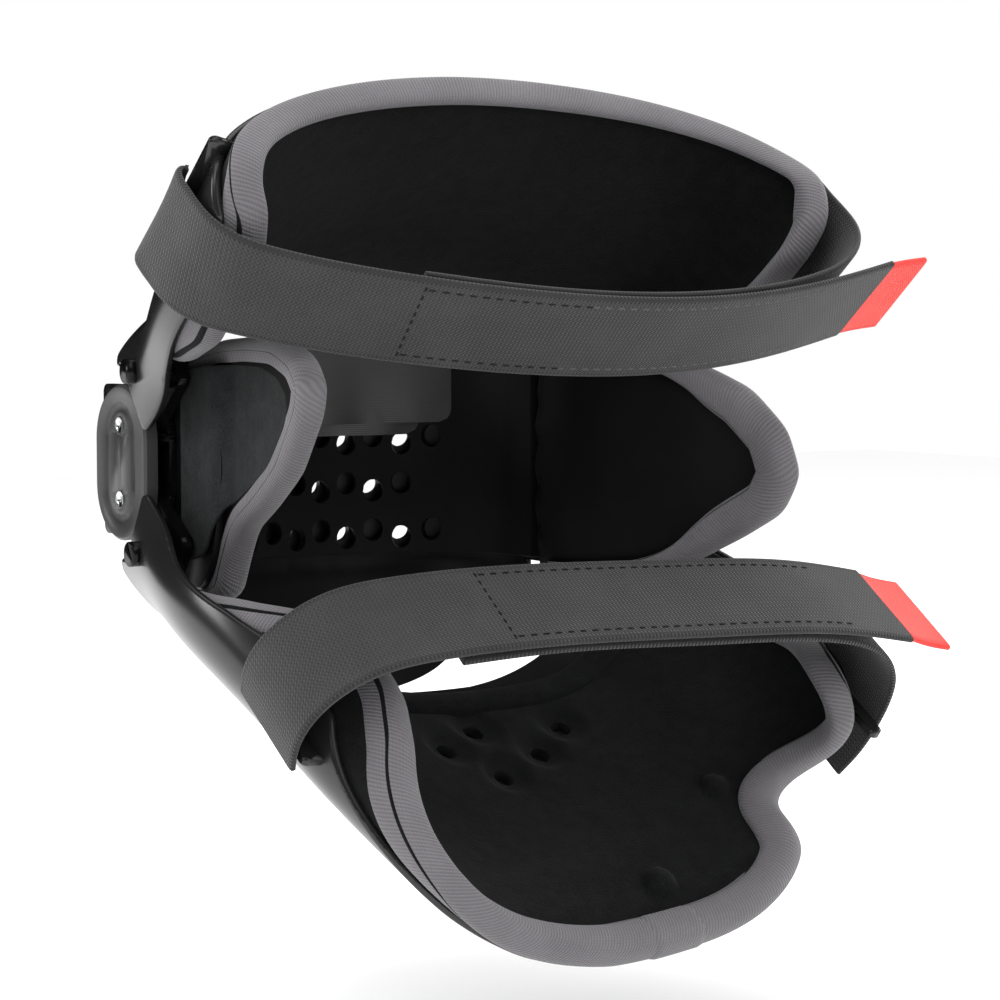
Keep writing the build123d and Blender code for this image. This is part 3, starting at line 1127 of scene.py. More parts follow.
@dataclass(frozen=True)
class Webbing(Finish):
    """Narrow woven webbing: cross ribs broken by lengthwise cords, denser at both edges."""

    dark: Colour
    light: Colour
    pitch: float = 1.3
    half_width: float = 18.0

    def make(self) -> bpy.types.Material:
        """Weave height is the product of two sines, along and across; both edges are raised.

        Returns:
            The material.
        """
        graph = Graph(self.name)
        run, across = graph.cloth_place()
        rate = 2 * math.pi / self.pitch
        weft = (run * rate).wave()
        warp = (across * (rate * 0.8)).wave()
        weave = weft * warp * 0.5 + 0.5
        rib = weft * 0.5 + 0.5
        fibre = graph.cloud(1600.0, 2.0)
        wear = graph.cloud(55.0, 4.0)
        edge = (across.size() - (self.half_width - 2.2)).step(0.0, 0.5)
        share = weave * 0.42 + rib * 0.2 + fibre * 0.2 + wear.step(0.35, 0.8) * 0.18 - edge * 0.2
        graph.bump(weave * 0.6 + rib * 0.35 + fibre * 0.3 + edge * 0.25, 0.3)
        return graph.surface(
            Base_Color=graph.mixed(share, self.dark, self.light),
            Roughness=0.88 - wear * 0.1,
            Sheen_Weight=0.15,
            Specular_IOR_Level=0.25,
        )


@dataclass(frozen=True)
class Thread(Finish):
    """Sewing thread: a soft even colour with a fine twist."""

    colour: Colour

    def make(self) -> bpy.types.Material:
        """The twist is a fine noise on colour and height.

        Returns:
            The material.
        """
        graph = Graph(self.name)
        twist = graph.cloud(2400.0, 2.0)
        darker = tuple(c * 0.55 for c in self.colour[:3]) + (1.0,)
        graph.bump(twist, 0.1)
        return graph.surface(
            Base_Color=graph.mixed(twist, darker, self.colour),
            Roughness=0.7,
            Specular_IOR_Level=0.3,
        )


@dataclass(frozen=True)
class Satin(Finish):
    """Satin ribbon: close lengthwise threads and a gentle gloss."""

    colour: Colour
    roughness: float = 0.42

    def make(self) -> bpy.types.Material:
        """Threads are a fast sine across the ribbon; gloss drifts with a large cloud.

        Returns:
            The material.
        """
        graph = Graph(self.name)
        run, across = graph.cloth_place()
        thread = (across * 9.0).wave() * 0.5 + 0.5
        weft = (run * 6.0).wave() * 0.5 + 0.5
        drift = graph.cloud(70.0, 3.0)
        lighter = tuple(c * 1.9 + 0.004 for c in self.colour[:3]) + (1.0,)
        graph.bump(thread * 0.6 + weft * 0.4, 0.05)
        return graph.surface(
            Base_Color=graph.mixed(thread * 0.4 + drift * 0.3, self.colour, lighter),
            Roughness=self.roughness + (drift - 0.5) * 0.2,
            Sheen_Weight=0.2,
        )


@dataclass(frozen=True)
class Paper(Finish):
    """Plain pale studio sweep."""

    colour: Colour

    def make(self) -> bpy.types.Material:
        """One even colour."""
        return Graph(self.name).surface(
            Base_Color=self.colour, Roughness=0.9, Specular_IOR_Level=0.1
        )


GLOSS_SHELL = Moulded("gloss_shell", grey(0.003), 0.1, 0.006, coat=0.08, rubbed=0.05, gloss=0.26)
CUP_SHELL = Moulded("cup_shell", grey(0.003), 0.4, 0.03, 1900.0, rubbed=0.14, gloss=0.25)
COVER = Moulded("hinge_cover_satin", grey(0.03), 0.42, 0.035, 2200.0, rubbed=0.1)
SMALL_MOULDING = Moulded("small_moulding", grey(0.008), 0.4, 0.03)
COATED_STEEL = Metal("coated_steel", grey(0.004), 0.24, 0.0, 0.18)
ZINC = Metal("bright_zinc", (0.78, 0.79, 0.8, 1.0), 0.22)
BRASS = Metal("turned_brass", (0.62, 0.47, 0.22, 1.0), 0.3)
LINING = BrushedKnit("brushed_lining", grey(0.0022, -0.04), grey(0.011, -0.05))
OUTER_CLOTH = BrushedKnit("outer_cloth", grey(0.008, -0.05), grey(0.03, -0.06))
FOAM = Moulded("perforated_foam", grey(0.002), 0.7, 0.05, 1700.0, rubbed=0.1, gloss=0.12)
BINDING = RibbedTape("ribbed_binding", (0.075, 0.071, 0.077, 1.0), (0.165, 0.157, 0.168, 1.0))
PIPING = Thread("piping_cord", (0.16, 0.153, 0.163, 1.0))
BLACK_THREAD = Thread("black_thread", grey(0.004))
PALE_THREAD = Thread("pale_thread", grey(0.1))
STRAP = Webbing("strap_webbing", grey(0.012, -0.005), grey(0.055, -0.005))
STRAP_EDGE = Webbing("return_webbing", grey(0.013, -0.01), grey(0.045, -0.01))
RED_TAPE = Webbing("red_tape", (0.62, 0.02, 0.016, 1.0), (1.0, 0.11, 0.085, 1.0), 1.0, 17.0)
LABEL = Satin("label_satin", grey(0.008), 0.34)
SWEEP = Paper("studio_sweep", (0.97, 0.97, 0.97, 1.0))


# ---------------------------------------------------------------- the brace's walls


THIGH_FRAME = LeanFrame(12.0, 50.0)
SHIN_FRAME = LeanFrame(-12.0, -56.0)
THIGH_WALL = LegWall(
    THIGH_FRAME,
    (
        (8, 87, 70, 0, -2),
        (36, 93, 44, 0, -6),
        (72, 104, 45, 0, -15),
        (110, 109, 45, 0, -19),
        (146, 110.5, 45, 0, -19),
    ),
)
SHIN_WALL = LegWall(
    SHIN_FRAME,
    (
        (-8, 87, 70, 0, -2),
        (-36, 93, 48, 0, -6),
        (-72, 101, 42, 0, -17),
        (-110, 102, 38, 5, -20),
        (-150, 96.5, 36, 7, -20),
        (-190, 82, 36, 4, -20),
        (-222, 70, 36, 1, -20),
    ),
)

CUP_WALL = CupWall(
    LeanFrame(0.0, 0.0),
    tuple((height, CUP_HALF_WIDTH, CUP_HALF_DEPTH, 0, 5) for height in (-60, 0, 60)),
)


def put(piece: bpy.types.Object, body: Body, slot: str, *nodes: str) -> bpy.types.Object:
    """Rides a finished piece on its body, hides the CAD nodes it stands for and reports it.

    Args:
        piece: the object.
        body: the body that carries it.
        slot: its material slot; not used.
        nodes: the CAD nodes it stands for.

    Returns:
        The same object.
    """
    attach(piece, body.value)
    if nodes:
        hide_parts(*nodes)
    LOG.info("%s on %s: %d faces", piece.name, body.value, len(piece.data.polygons))
    return piece


# How a liner's edge narrows: the share lost, and the run over which it is lost, at a wing's root
# (millimetres) and along a liner's front (radians from the middle, then millimetres of height).
ROOT_LOSS, ROOT_RUN = 0.58, 34
FRONT_LOSS, FRONT_ANGLE, FRONT_FADE, FRONT_RISE = 0.66, 1.3, 0.45, 12


@dataclass
class Lining:
    """A foam liner: a brushed pad, a thick bound edge and a piping cord in the seam between them.

    Attributes:
        name: stem of the pieces' names.
        body: the body that carries them.
        wall: the wall that they lie on.
        outline: closed (u, v) outline.
        pad_node: the CAD node that the pad stands for.
        binding_node: the CAD node that the bound edge stands for.
        base_depth: depth of the pad's outer face.
        pad_depth: the pad's thickness.
        bead_depth: the bound edge's thickness.
        bead_width: the bound edge's width.
        edge: the bound run of the outline, if not all of it.
        holes: vent hole centres.
        hole_radius: their radius.
        domes: centres of raised domes.
        dome_height: the domes' height.
        dome_radius: their radius.
        tuck: how far the pad's rim lies inside the outline.
        slim_above: height above which the front run of the edge is narrow.
        slim_root: place from which a wing's edge narrows towards its root.
        finish: the pad's finish.
    """

    name: str
    body: Body
    wall: Wall
    outline: Array
    pad_node: str
    binding_node: str
    base_depth: float = 0.0
    pad_depth: float = 7.0
    bead_depth: float = 11.0
    bead_width: float = 12.0
    edge: Array | None = None
    holes: Array | None = None
    hole_radius: float = 3.6
    domes: Array | None = None
    dome_height: float = 5.6
    dome_radius: float = 7.2
    tuck: float = 4.0
    slim_above: float | None = None
    slim_root: float | None = None
    finish: Finish = LINING

    def turn(self) -> float:
        """+1 if the outline runs anticlockwise in (u, v): the sign of its enclosed area."""
        u, v = self.outline.T
        return float(np.sign(np.sum(u * np.roll(v, -1) - np.roll(u, -1) * v)))

    def slimness(self, route: Array) -> Array:
        """Share of the full edge width.

        It is a third along the front above one height, or under half near a wing's root.

        Args:
            route: (u, v) rows.

        Returns:
            The share at each row.
        """
        if self.slim_root is not None:
            return 1 - ROOT_LOSS * ease((route[:, 0] - self.slim_root) / ROOT_RUN)
        if self.slim_above is None:
            return np.ones(len(route))
        front = 1 - ease((np.abs(route[:, 0]) - FRONT_ANGLE) / FRONT_FADE)
        return 1 - FRONT_LOSS * front * ease((route[:, 1] - self.slim_above) / FRONT_RISE)

    def route(self, spacing: float) -> Array:
        """The bound run of the outline at even distances.

        Args:
            spacing: distance between points.

        Returns:
            (u, v) rows.
        """
        closed = self.edge is None
        route = self.outline if closed else self.edge
        return evenly(route, spacing, self.wall.point(route[:, 0], route[:, 1], 0.0), closed)

    def beside(
        self, route: Array, closed: bool, inset: float, depth: float, profile: Array
    ) -> Mesh:
        """A cord or bead that runs beside a route.

        Each path point is the route's, moved to the depth and by the inset along the wall, then
        smoothed.

        Args:
            route: (u, v) rows.
            closed: whether the route closes.
            inset: distance of the cord's middle from the route.
            depth: depth of its middle.
            profile: its section.

        Returns:
            The closed mesh.
        """
        slim = self.slimness(route)
        inside = self.wall.inside_of(route, self.turn(), closed)
        line = self.wall.point(route[:, 0], route[:, 1], depth) + inside * (inset * slim)[:, None]
        deep = self.wall.inward(route[:, 0], route[:, 1])
        line, inside, deep = (soften(table, 6, closed) for table in (line, inside, deep))
        return tube(line, unit(inside), unit(deep), profile, closed, slim)

    def pad_outline(self) -> Array:
        """The outline moved inwards under the bound edge, so that the pad never shows outside it.

        Returns:
            Closed (u, v) rows.
        """
        scale = np.array([self.wall.reach, 1.0])
        ahead = along(self.outline * scale, True)
        inward = np.stack([-ahead[:, 1], ahead[:, 0]], axis=1) * self.turn()
        amount = np.full(len(self.outline), self.tuck)
        if self.edge is not None:
            fade = 6
            _, far = nearest(self.edge * scale, self.outline * scale)
            amount = self.tuck * (1 - ease(far / fade))
        amount *= self.slimness(self.outline)
        return soften(self.outline + inward * amount[:, None] / scale, 8, True)

    def pad(self) -> None:
        """The foam pad: thinner under the bound edge, slightly crowned, with holes and domes."""
        outline = self.pad_outline()
        sheet = CutSheet.cut(self.wall, outline, PAD_GRID, self.holes, self.hole_radius)
        crown, crown_run, pressed, gap, bulge = 0.9, 22, 0.62, 0.25, 0.4
        rise = ease((sheet.inset - 0.5) / (self.bead_width - 5))
        climb = np.clip((sheet.inset - self.bead_width + 4) / crown_run, 0, 1)
        swell = crown * np.sin(climb * math.pi / 2)
        inner = self.base_depth + self.pad_depth * (pressed + (1 - pressed) * rise) - crown + swell
        if self.domes is not None:
            face = self.wall.point(sheet.uv[:, 0], sheet.uv[:, 1], self.pad_depth)
            _, away = nearest(self.domes, face)
            share = np.clip(1 - (away / self.dome_radius) ** 2, 0, 1)
            inner = inner + self.dome_height * share**0.5
        outer = np.full(len(inner), self.base_depth + gap)
        foam = sheet.thicken(self.wall, outer, inner, bulge)
        pad = foam.build(f"{self.name}_pad", self.finish.material(), CLOTH_ANGLE)
        put(pad, self.body, "lining", self.pad_node)

    def build(self) -> None:
        """Makes the pad, the bound edge and the piping."""
        self.pad()
        closed = self.edge is None
        half = self.bead_width / 2
        middle = self.base_depth + self.bead_depth / 2
        squareness, count, bead_step = 2.5, 28, 1.1
        profile = rounded(half - 0.1, self.bead_depth / 2 - 0.15, squareness, count)
        bead = self.beside(self.route(bead_step), closed, half - 0.2, middle, profile)
        bound = bead.build(f"{self.name}_bound_edge", BINDING.material(), CORD_ANGLE)
        put(bound, self.body, "binding", self.binding_node)
        radius, sink, away, cord_step = 0.6, 0.4, 0.35, 1.2
        depth = self.base_depth + self.pad_depth - sink
        section = rounded(radius, radius, 2, 8)
        cord = self.beside(self.route(cord_step), closed, self.bead_width + away, depth, section)
        put(cord.build(f"{self.name}_piping", PIPING.material(), CORD_ANGLE), self.body, "binding")


@dataclass
class LegShell:
    """A thin moulded shell on a leg wall with rounded edges, standing for its CAD node.

    Attributes:
        name: the piece's name and its CAD node's.
        body: the body that carries it.
        wall: the wall of its inner face.
        left: (fore, height) rows of its left side.
        right: the same for its right side.
        thickness: its thickness.
        grid: spacing of its grid.
        bulge: how far its edge is rounded out.
    """

    name: str
    body: Body
    wall: LegWall
    left: Points
    right: Points
    thickness: float = 3.0
    grid: float = 1.5
    bulge: float = 1.2

    def build(self) -> None:
        """Cuts the wall along the side outlines and thickens it outwards."""
        outline = self.wall.loop(self.left, self.right, 2)
        sheet = CutSheet.cut(self.wall, outline, self.grid)
        count = len(sheet.uv)
        outer = np.full(count, -self.thickness)
        solid = sheet.thicken(self.wall, outer, np.zeros(count), self.bulge)
        shell = solid.build(self.name, GLOSS_SHELL.material(), SHELL_ANGLE)
        put(shell, self.body, "gloss_shell", self.name)


@dataclass
class Ribbon:
    """A flat strap: a plan path in a leaning frame, raised to a tilted plane.

    Attributes:
        name: the piece's name.
        body: the body that carries it.
        frame: the frame of the plan path.
        plan: (across, fore) rows of the path.
        height: the plane's height at the frame's middle.
        rise: degrees by which the plane rises to the fore.
        tilt: degrees by which it tilts sideways.
        finish: the webbing's finish.
        slot: its material slot.
        width: its width.
        thickness: its thickness.
        seam: distance of its seams from its middle line.
    """

    name: str
    body: Body
    frame: LeanFrame
    plan: Points
    height: float
    rise: float
    tilt: float
    finish: Finish
    slot: str
    width: float = 36.0
    thickness: float = 2.0
    seam: float = 14

    def __post_init__(self) -> None:
        """Works out the centre line and its across and through directions."""
        plan = np.array(self.plan, float)
        chord = distance_run(plan)
        fine_count, spacing = 600, 1.2
        fine = NaturalCurve(chord, plan).at(np.linspace(0, chord[-1], fine_count))
        plan = evenly(fine, spacing)
        rise, tilt = math.radians(self.rise), math.radians(self.tilt)
        level = math.cos(tilt)
        up = np.array([math.sin(tilt), -math.sin(rise) * level, math.cos(rise) * level])
        height = self.height - (plan @ up[:2]) / up[2]
        self.centre = self.frame.world(np.concatenate([plan, height[:, None]], axis=1))
        flat = np.concatenate([plan, np.zeros((len(plan), 1))], axis=1)
        ahead = along(flat, False)
        through = np.stack([ahead[:, 1], -ahead[:, 0], np.zeros(len(plan))], axis=1)
        base = self.frame.world(np.zeros((1, 3)))
        self.through = unit(self.frame.world(through) - base)
        self.across = unit(np.cross(self.through, along(self.centre, False)))
        self.run = distance_run(self.centre)

    def at(self, run: Array, across: Array, lift: Array) -> Array:
        """Points of the ribbon.

        Args:
            run: distances along it.
            across: places across it.
            lift: heights off its middle.

        Returns:
            Points in the row frame.
        """
        centre, wide, thick = (
            np.stack([np.interp(run, self.run, column) for column in table.T], axis=-1)
            for table in (self.centre, self.across, self.through)
        )
        return centre + wide * np.asarray(across)[..., None] + thick * np.asarray(lift)[..., None]

    def build(self, *nodes: str) -> bpy.types.Object:
        """Carries the flat section along the centre line.

        The section is a rectangle with rounded edges: the place across runs from edge to edge and
        back, and the place through is half the thickness times the fourth root of one minus the
        share of the half width to the 24th power.

        Args:
            nodes: the CAD nodes that the strap stands for.

        Returns:
            The finished piece.
        """
        count = 25
        share = np.cos(np.linspace(0, math.pi, count))
        thick = self.thickness / 2 * np.clip(1 - np.abs(share) ** 24, 0, 1) ** 0.25
        top = np.stack([share * self.width / 2, thick], axis=1)
        bottom = np.stack([-share * self.width / 2, -thick], axis=1)[1:-1]
        profile = np.concatenate([top, bottom])
        points = (
            self.centre[:, None]
            + profile[None, :, :1] * self.across[:, None]
            + profile[None, :, 1:] * self.through[:, None]
        )
        rows, columns = points.shape[:2]
        quads = grid_quads(rows, columns, False, True)
        place = np.stack(np.broadcast_arrays(self.run[:, None], profile[None, :, 0]), axis=-1)
        half = np.arange(1, count - 1)
        caps = []
        for row, flip in ((0, False), (rows - 1, True)):
            upper = row * columns + np.concatenate([[0], half])
            lower = row * columns + np.concatenate([[0], columns - half])
            cap = np.stack([upper[:-1], upper[1:], lower[1:], lower[:-1]], axis=1)
            caps.append(cap[:, ::-1] if flip else cap)
        faces = np.concatenate([quads] + [cap[1:] for cap in caps])
        strip = outward(Mesh(points.reshape(-1, 3), faces, place.reshape(-1, 2)))
        piece = strip.build(self.name, self.finish.material(), CLOTH_ANGLE)
        put(piece, self.body, self.slot, *nodes)
        return piece

    def declare(
        self, piece: bpy.types.Object, held: str, *rests_on: str, with_pieces: Sequence = ()
    ) -> None:
        """Works out the ribbon's width in metres and does nothing with it.

        Args:
            piece: the ribbon's object; not used.
            held: how it is held; not used.
            rests_on: names of what it lies on; not used.
            with_pieces: its rows of stitches; not used.
        """
        self.width * MM

    def stitches(
        self, name: str, line: Points, finish: Finish, face: float = 1.0, pitch: float = 4.2
    ) -> bpy.types.Object:
        """A row of short threads along a line.

        Each thread is a low pillow: its half width narrows to both ends by the root of one minus
        the fourth power of the place along, and its height by that and the root of one minus the
        square of the place across.

        Args:
            name: the row's name.
            line: (distance along, place across) corners.
            finish: the thread's finish.
            face: 1 for the ribbon's front, -1 for its back.
            pitch: distance from stitch to stitch.

        Returns:
            The finished piece.
        """
        corners = np.array(line, float)
        spots = evenly(corners, pitch)
        ahead = along(spots, False)
        rows, columns = 7, 5
        half_length, half_width, height, sink = 0.31, 0.42, 0.34, 0.05
        first, second = np.meshgrid(
            np.linspace(-1, 1, rows), np.linspace(-1, 1, columns), indexing="ij"
        )
        swell = np.sqrt(np.clip(1 - first**4, 0, 1))
        long = first * pitch * half_length
        wide = second * half_width * swell
        high = height * swell * np.sqrt(np.clip(1 - second**2, 0, 1))
        step_run, step_across = (ahead[:, column, None, None] for column in (0, 1))
        run = spots[:, 0, None, None] + long * step_run - wide * step_across
        across = spots[:, 1, None, None] + long * step_across + wide * step_run
        lift = face * (self.thickness / 2 - sink + np.broadcast_to(high, run.shape))
        points = self.at(run, across, lift)
        cell = grid_quads(rows, columns, False, False)
        if face > 0:
            cell = cell[:, ::-1]
        start = rows * columns * np.arange(len(spots))
        quads = (cell[None] + start[:, None, None]).reshape(-1, 4)
        place = np.stack([run, across], axis=-1).reshape(-1, 2)
        mesh = Mesh(points.reshape(-1, 3), quads, place)
        piece = mesh.build(name, finish.material(), CORD_ANGLE)
        return put(piece, self.body, self.slot)

    def seams(self, name: str, start: float, stop: float, finish: Finish) -> list[bpy.types.Object]:
        """Two rows of stitches along the ribbon, one near each edge.

        Args:
            name: stem of the rows' names.
            start: distance along the ribbon at which they start.
            stop: distance at which they end.
            finish: the thread's finish.

        Returns:
            The lower row and the upper one.
        """
        return [
            self.stitches(f"{name}_{level}", ((start, edge), (stop, edge)), finish)
            for level, edge in (("low", -self.seam), ("high", self.seam))
        ]

    def cross_seam(self, name: str, run: float) -> bpy.types.Object:
        """A row of close black stitches across the ribbon at a distance along it."""
        line = ((run, -self.seam), (run, self.seam))
        return self.stitches(name, line, BLACK_THREAD, pitch=3.6)


# ---------------------------------------------------------------- sub-assemblies


def stretch(
    stem: str,
    shell: str,
    front: Ribbon,
    back: Ribbon,
    tab: Ribbon,
    rows: Sequence[bpy.types.Object],
) -> None:
    """Builds a strap, its return and its tab.

    Args:
        stem: stem of the strap's names.
        shell: the piece that the strap goes round.
        front: the strap.
        back: its doubled return.
        tab: its pull tab.
        rows: the strap's rows of stitches.
    """
    front.declare(front.build(f"{stem}_strap"), "stretched", shell, with_pieces=rows)
    back.declare(back.build(f"{stem}_strap_return"), "stretched", front.name)
    tab.declare(tab.build(f"{stem}_strap_tab"), "stretched", front.name)


def hinge_ear(start: float, stop: float, up: int) -> list[tuple[float, float]]:
    """The round ear of a shell over its hinge arm: an arc about the pivot.

    Fore is the radius times the sine of the turn, and height the radius times its cosine.

    Args:
        start: turn in degrees at which the arc starts.
        stop: turn at which it ends.
        up: 1 on the thigh, -1 on the shin, where the shell lies below its pivot.

    Returns:
        (fore, height) rows.
    """
    radius, count = 20, 14
    turns = np.radians(np.linspace(start, stop, count))
    return [(radius * math.sin(turn), up * radius * math.cos(turn)) for turn in turns]


def merged_copy(
    node: str, finish: Finish, body: Body, slot: str, angle: float = 32.0
) -> bpy.types.Object:
    """A copy of a CAD node with its triangles joined and its curved faces shaded smooth.

    Args:
        node: the CAD node, which the copy stands for.
        finish: the copy's finish.
        body: the body that carries it.
        slot: its material slot.
        angle: faces meeting at a smaller angle than this are shaded as one surface.

    Returns:
        The finished piece.
    """
    source = bpy.data.objects[node]
    data = source.data.copy()
    shape = bmesh.new()
    shape.from_mesh(data)
    weld = 2e-6
    bmesh.ops.remove_doubles(shape, verts=shape.verts, dist=weld)
    shape.to_mesh(data)
    shape.free()
    data.name = f"{node}_smooth"
    data.materials.clear()
    data.materials.append(finish.material())
    data.shade_smooth()
    data.set_sharp_from_angle(angle=math.radians(angle))
    piece = bpy.data.objects.new(f"{node}_smooth", data)
    bpy.context.scene.collection.objects.link(piece)
    return put(piece, body, slot, node)


@dataclass
class Hinges:
    """The geared side hinges, strap guides and the fixed black cup: CAD pieces with their finishes.

    Attributes:
    """

    frame: dict[str, Any]

    def dress(self) -> None:
        """Gives each hard CAD piece a smooth-shaded copy with its finish."""
        finishes = (
            ("knee_cup", CUP_SHELL, "gloss_shell"),
            ("hinge_plate", COATED_STEEL, "hinge_steel"),
            ("hinge_cover", COVER, "hinge_cover"),
            ("extension_stop", SMALL_MOULDING, "moulded_black"),
            ("pivot_post", BRASS, "brass_post"),
            ("pivot_screw", ZINC, "zinc"),
            ("thigh_hinge_arm", COATED_STEEL, "hinge_steel"),
            ("shin_hinge_arm", COATED_STEEL, "hinge_steel"),
            ("thigh_arm_spacer", SMALL_MOULDING, "moulded_black"),
            ("shin_arm_spacer", SMALL_MOULDING, "moulded_black"),
            ("thigh_arm_rivet", COATED_STEEL, "dark_metal"),
            ("shin_arm_rivet", COATED_STEEL, "dark_metal"),
            ("thigh_strap_guide", GLOSS_SHELL, "gloss_shell"),
            ("calf_strap_guide", GLOSS_SHELL, "gloss_shell"),
        )
        bodies = self.frame["record"]["behaviour"]["bodies"]
        home = {node: Body(body) for body, nodes in bodies.items() for node in nodes}
        for node in sorted(self.frame["nodes"]):
            for stem, finish, slot in finishes:
                if node.startswith(stem):
                    merged_copy(node, finish, home[node], slot)


@dataclass
class ThighSection:
    """Thigh shell, its liner, the thigh strap and the care labels."""

    def outline(self) -> Array:
        """The liner's edge, round both sides.

        Returns:
            Closed (u, v) rows.
        """
        left = (
            (60, 140), (0, 141), (-16, 141), (-29, 134), (-34, 119), (-34, 98), (-31, 76),
            (-20, 55), (-6, 47), (8, 42), (24, 28), (60, 26),
        )
        right = (
            (60, 140), (0, 140), (-14, 142), (-29, 137), (-36, 124), (-36, 104), (-33, 88),
            (-22, 64), (-6, 50), (8, 42), (24, 28), (60, 26),
        )
        return THIGH_WALL.loop(left, right, passes=20)

    def build(self) -> None:
        """Builds the section."""
        side = [(80, 134), (0, 134), (-14, 132), (-24, 126), (-27, 110), (-27, 94)]
        side += [(-23, 74), (-18, 50), (-15, 26)] + hinge_ear(-40, 66, 1)
        side += [(22, 8), (22, 14), (21, 28), (30, 30), (80, 30)]
        LegShell("thigh_shell", Body.THIGH, THIGH_WALL, side, side).build()
        Lining(
            "thigh_liner", Body.THIGH, THIGH_WALL, self.outline(), "thigh_pad", "thigh_binding",
            slim_above=120.0,
        ).build()
        self.strap()
        self.labels()

    def strap(self) -> None:
        """The strap, from its left fold round the rear to its tab, and its doubled return."""
        common = dict(body=Body.THIGH, frame=THIGH_FRAME, height=108.0, rise=-14.0, tilt=-2.8)
        front = Ribbon(
            name="thigh_webbing",
            plan=(
                (-107.4, -0.5), (-110, 0.6), (-112.9, -1), (-114.7, -5.5), (-115, -12),
                (-113.4, -25), (-108, -34), (-99, -40), (-74, -50), (-30, -61.7), (30, -68),
                (80, -62), (114, -53),
            ),
            finish=STRAP, slot="webbing", **common,
        )
        back = Ribbon(
            name="thigh_webbing_return",
            plan=(
                (-56, -52), (-30, -58.6), (30, -64.9), (80, -57.6), (103, -46.5), (113.5, -33),
                (115.5, -16), (115.5, -4), (111, 4), (105, 3),
            ),
            finish=STRAP_EDGE, slot="webbing", width=35.0, **common,
        )
        tab = Ribbon(
            name="thigh_pull_tab", plan=((114.2, -52.9), (121, -51.6), (131, -50.3)),
            finish=RED_TAPE, slot="red_tab", width=34.0, **common,
        )
        end = float(front.run[-1]) - 26
        rows = [front.cross_seam("thigh_webbing_cross_seam", 99)]
        rows += front.seams("thigh_webbing_dark_seam", 101, 150, BLACK_THREAD)
        rows += front.seams("thigh_webbing_pale_seam", 152, end, PALE_THREAD)
        stretch("thigh", "thigh_shell", front, back, tab, rows)

    def labels(self) -> None:
        """Two bare satin labels that hang inside from the liner's lower edge."""
        for name, fore, low, left, right, node in (
            ("care_label_upper_leaf", -8.4, 11.0, -31.0, 34.0, "care_label_front"),
            ("care_label_lower_leaf", -6.9, 7.0, -37.0, 22.0, "care_label_back"),
        ):
            self.label(name, fore, low, left, right, node)

    def label(
        self, name: str, fore: float, low: float, left: float, right: float, node: str
    ) -> None:
        """One leaf: flat in X and Z, with a ripple in Y that grows from the sewn edge down.

        Args:
            name: the leaf's name.
            fore: its place in Y.
            low: height of its free edge.
            left: place of its left edge.
            right: place of its right edge.
            node: the CAD node that it stands for.
        """
        top, thick, corner = 50.5, 0.5, 5.0
        columns, rows = 41, 31
        width, height = right - left, top - low
        share, drop = np.meshgrid(np.linspace(0, 1, columns), np.linspace(0, 1, rows))
        inset = np.maximum(corner - (1 - drop) * height, 0)
        nip = corner - np.sqrt(np.clip(corner**2 - inset**2, 0, None))
        across = left + nip + share * (width - 2 * nip)
        slow, slow_rate, fast, fast_rate = 0.7, 7.0, 0.35, 13.0
        ripple = slow * drop * np.sin(share * slow_rate + fore)
        ripple = ripple + fast * drop**2 * np.cos(share * fast_rate)
        level = top - drop * height
        count = share.size
        sides = [
            np.stack([across, fore + ripple + offset, level], axis=-1).reshape(-1, 3)
            for offset in (-thick / 2, thick / 2)
        ]
        face = grid_quads(rows, columns, False, False)
        number = np.arange(count).reshape(rows, columns)
        edge = np.concatenate([number[0], number[1:, -1], number[-1, -2::-1], number[-2:0:-1, 0]])
        after = np.roll(edge, -1)
        rim = np.stack([edge, after, after + count, edge + count], axis=1)
        place = np.stack([across, level], axis=-1).reshape(-1, 2)
        faces = np.concatenate([face, face[:, ::-1] + count, rim])
        mesh = outward(Mesh(np.concatenate(sides), faces, np.tile(place, (2, 1))))
        leaf = mesh.build(name, LABEL.material(), SHELL_ANGLE)
        put(leaf, Body.THIGH, "label", node)


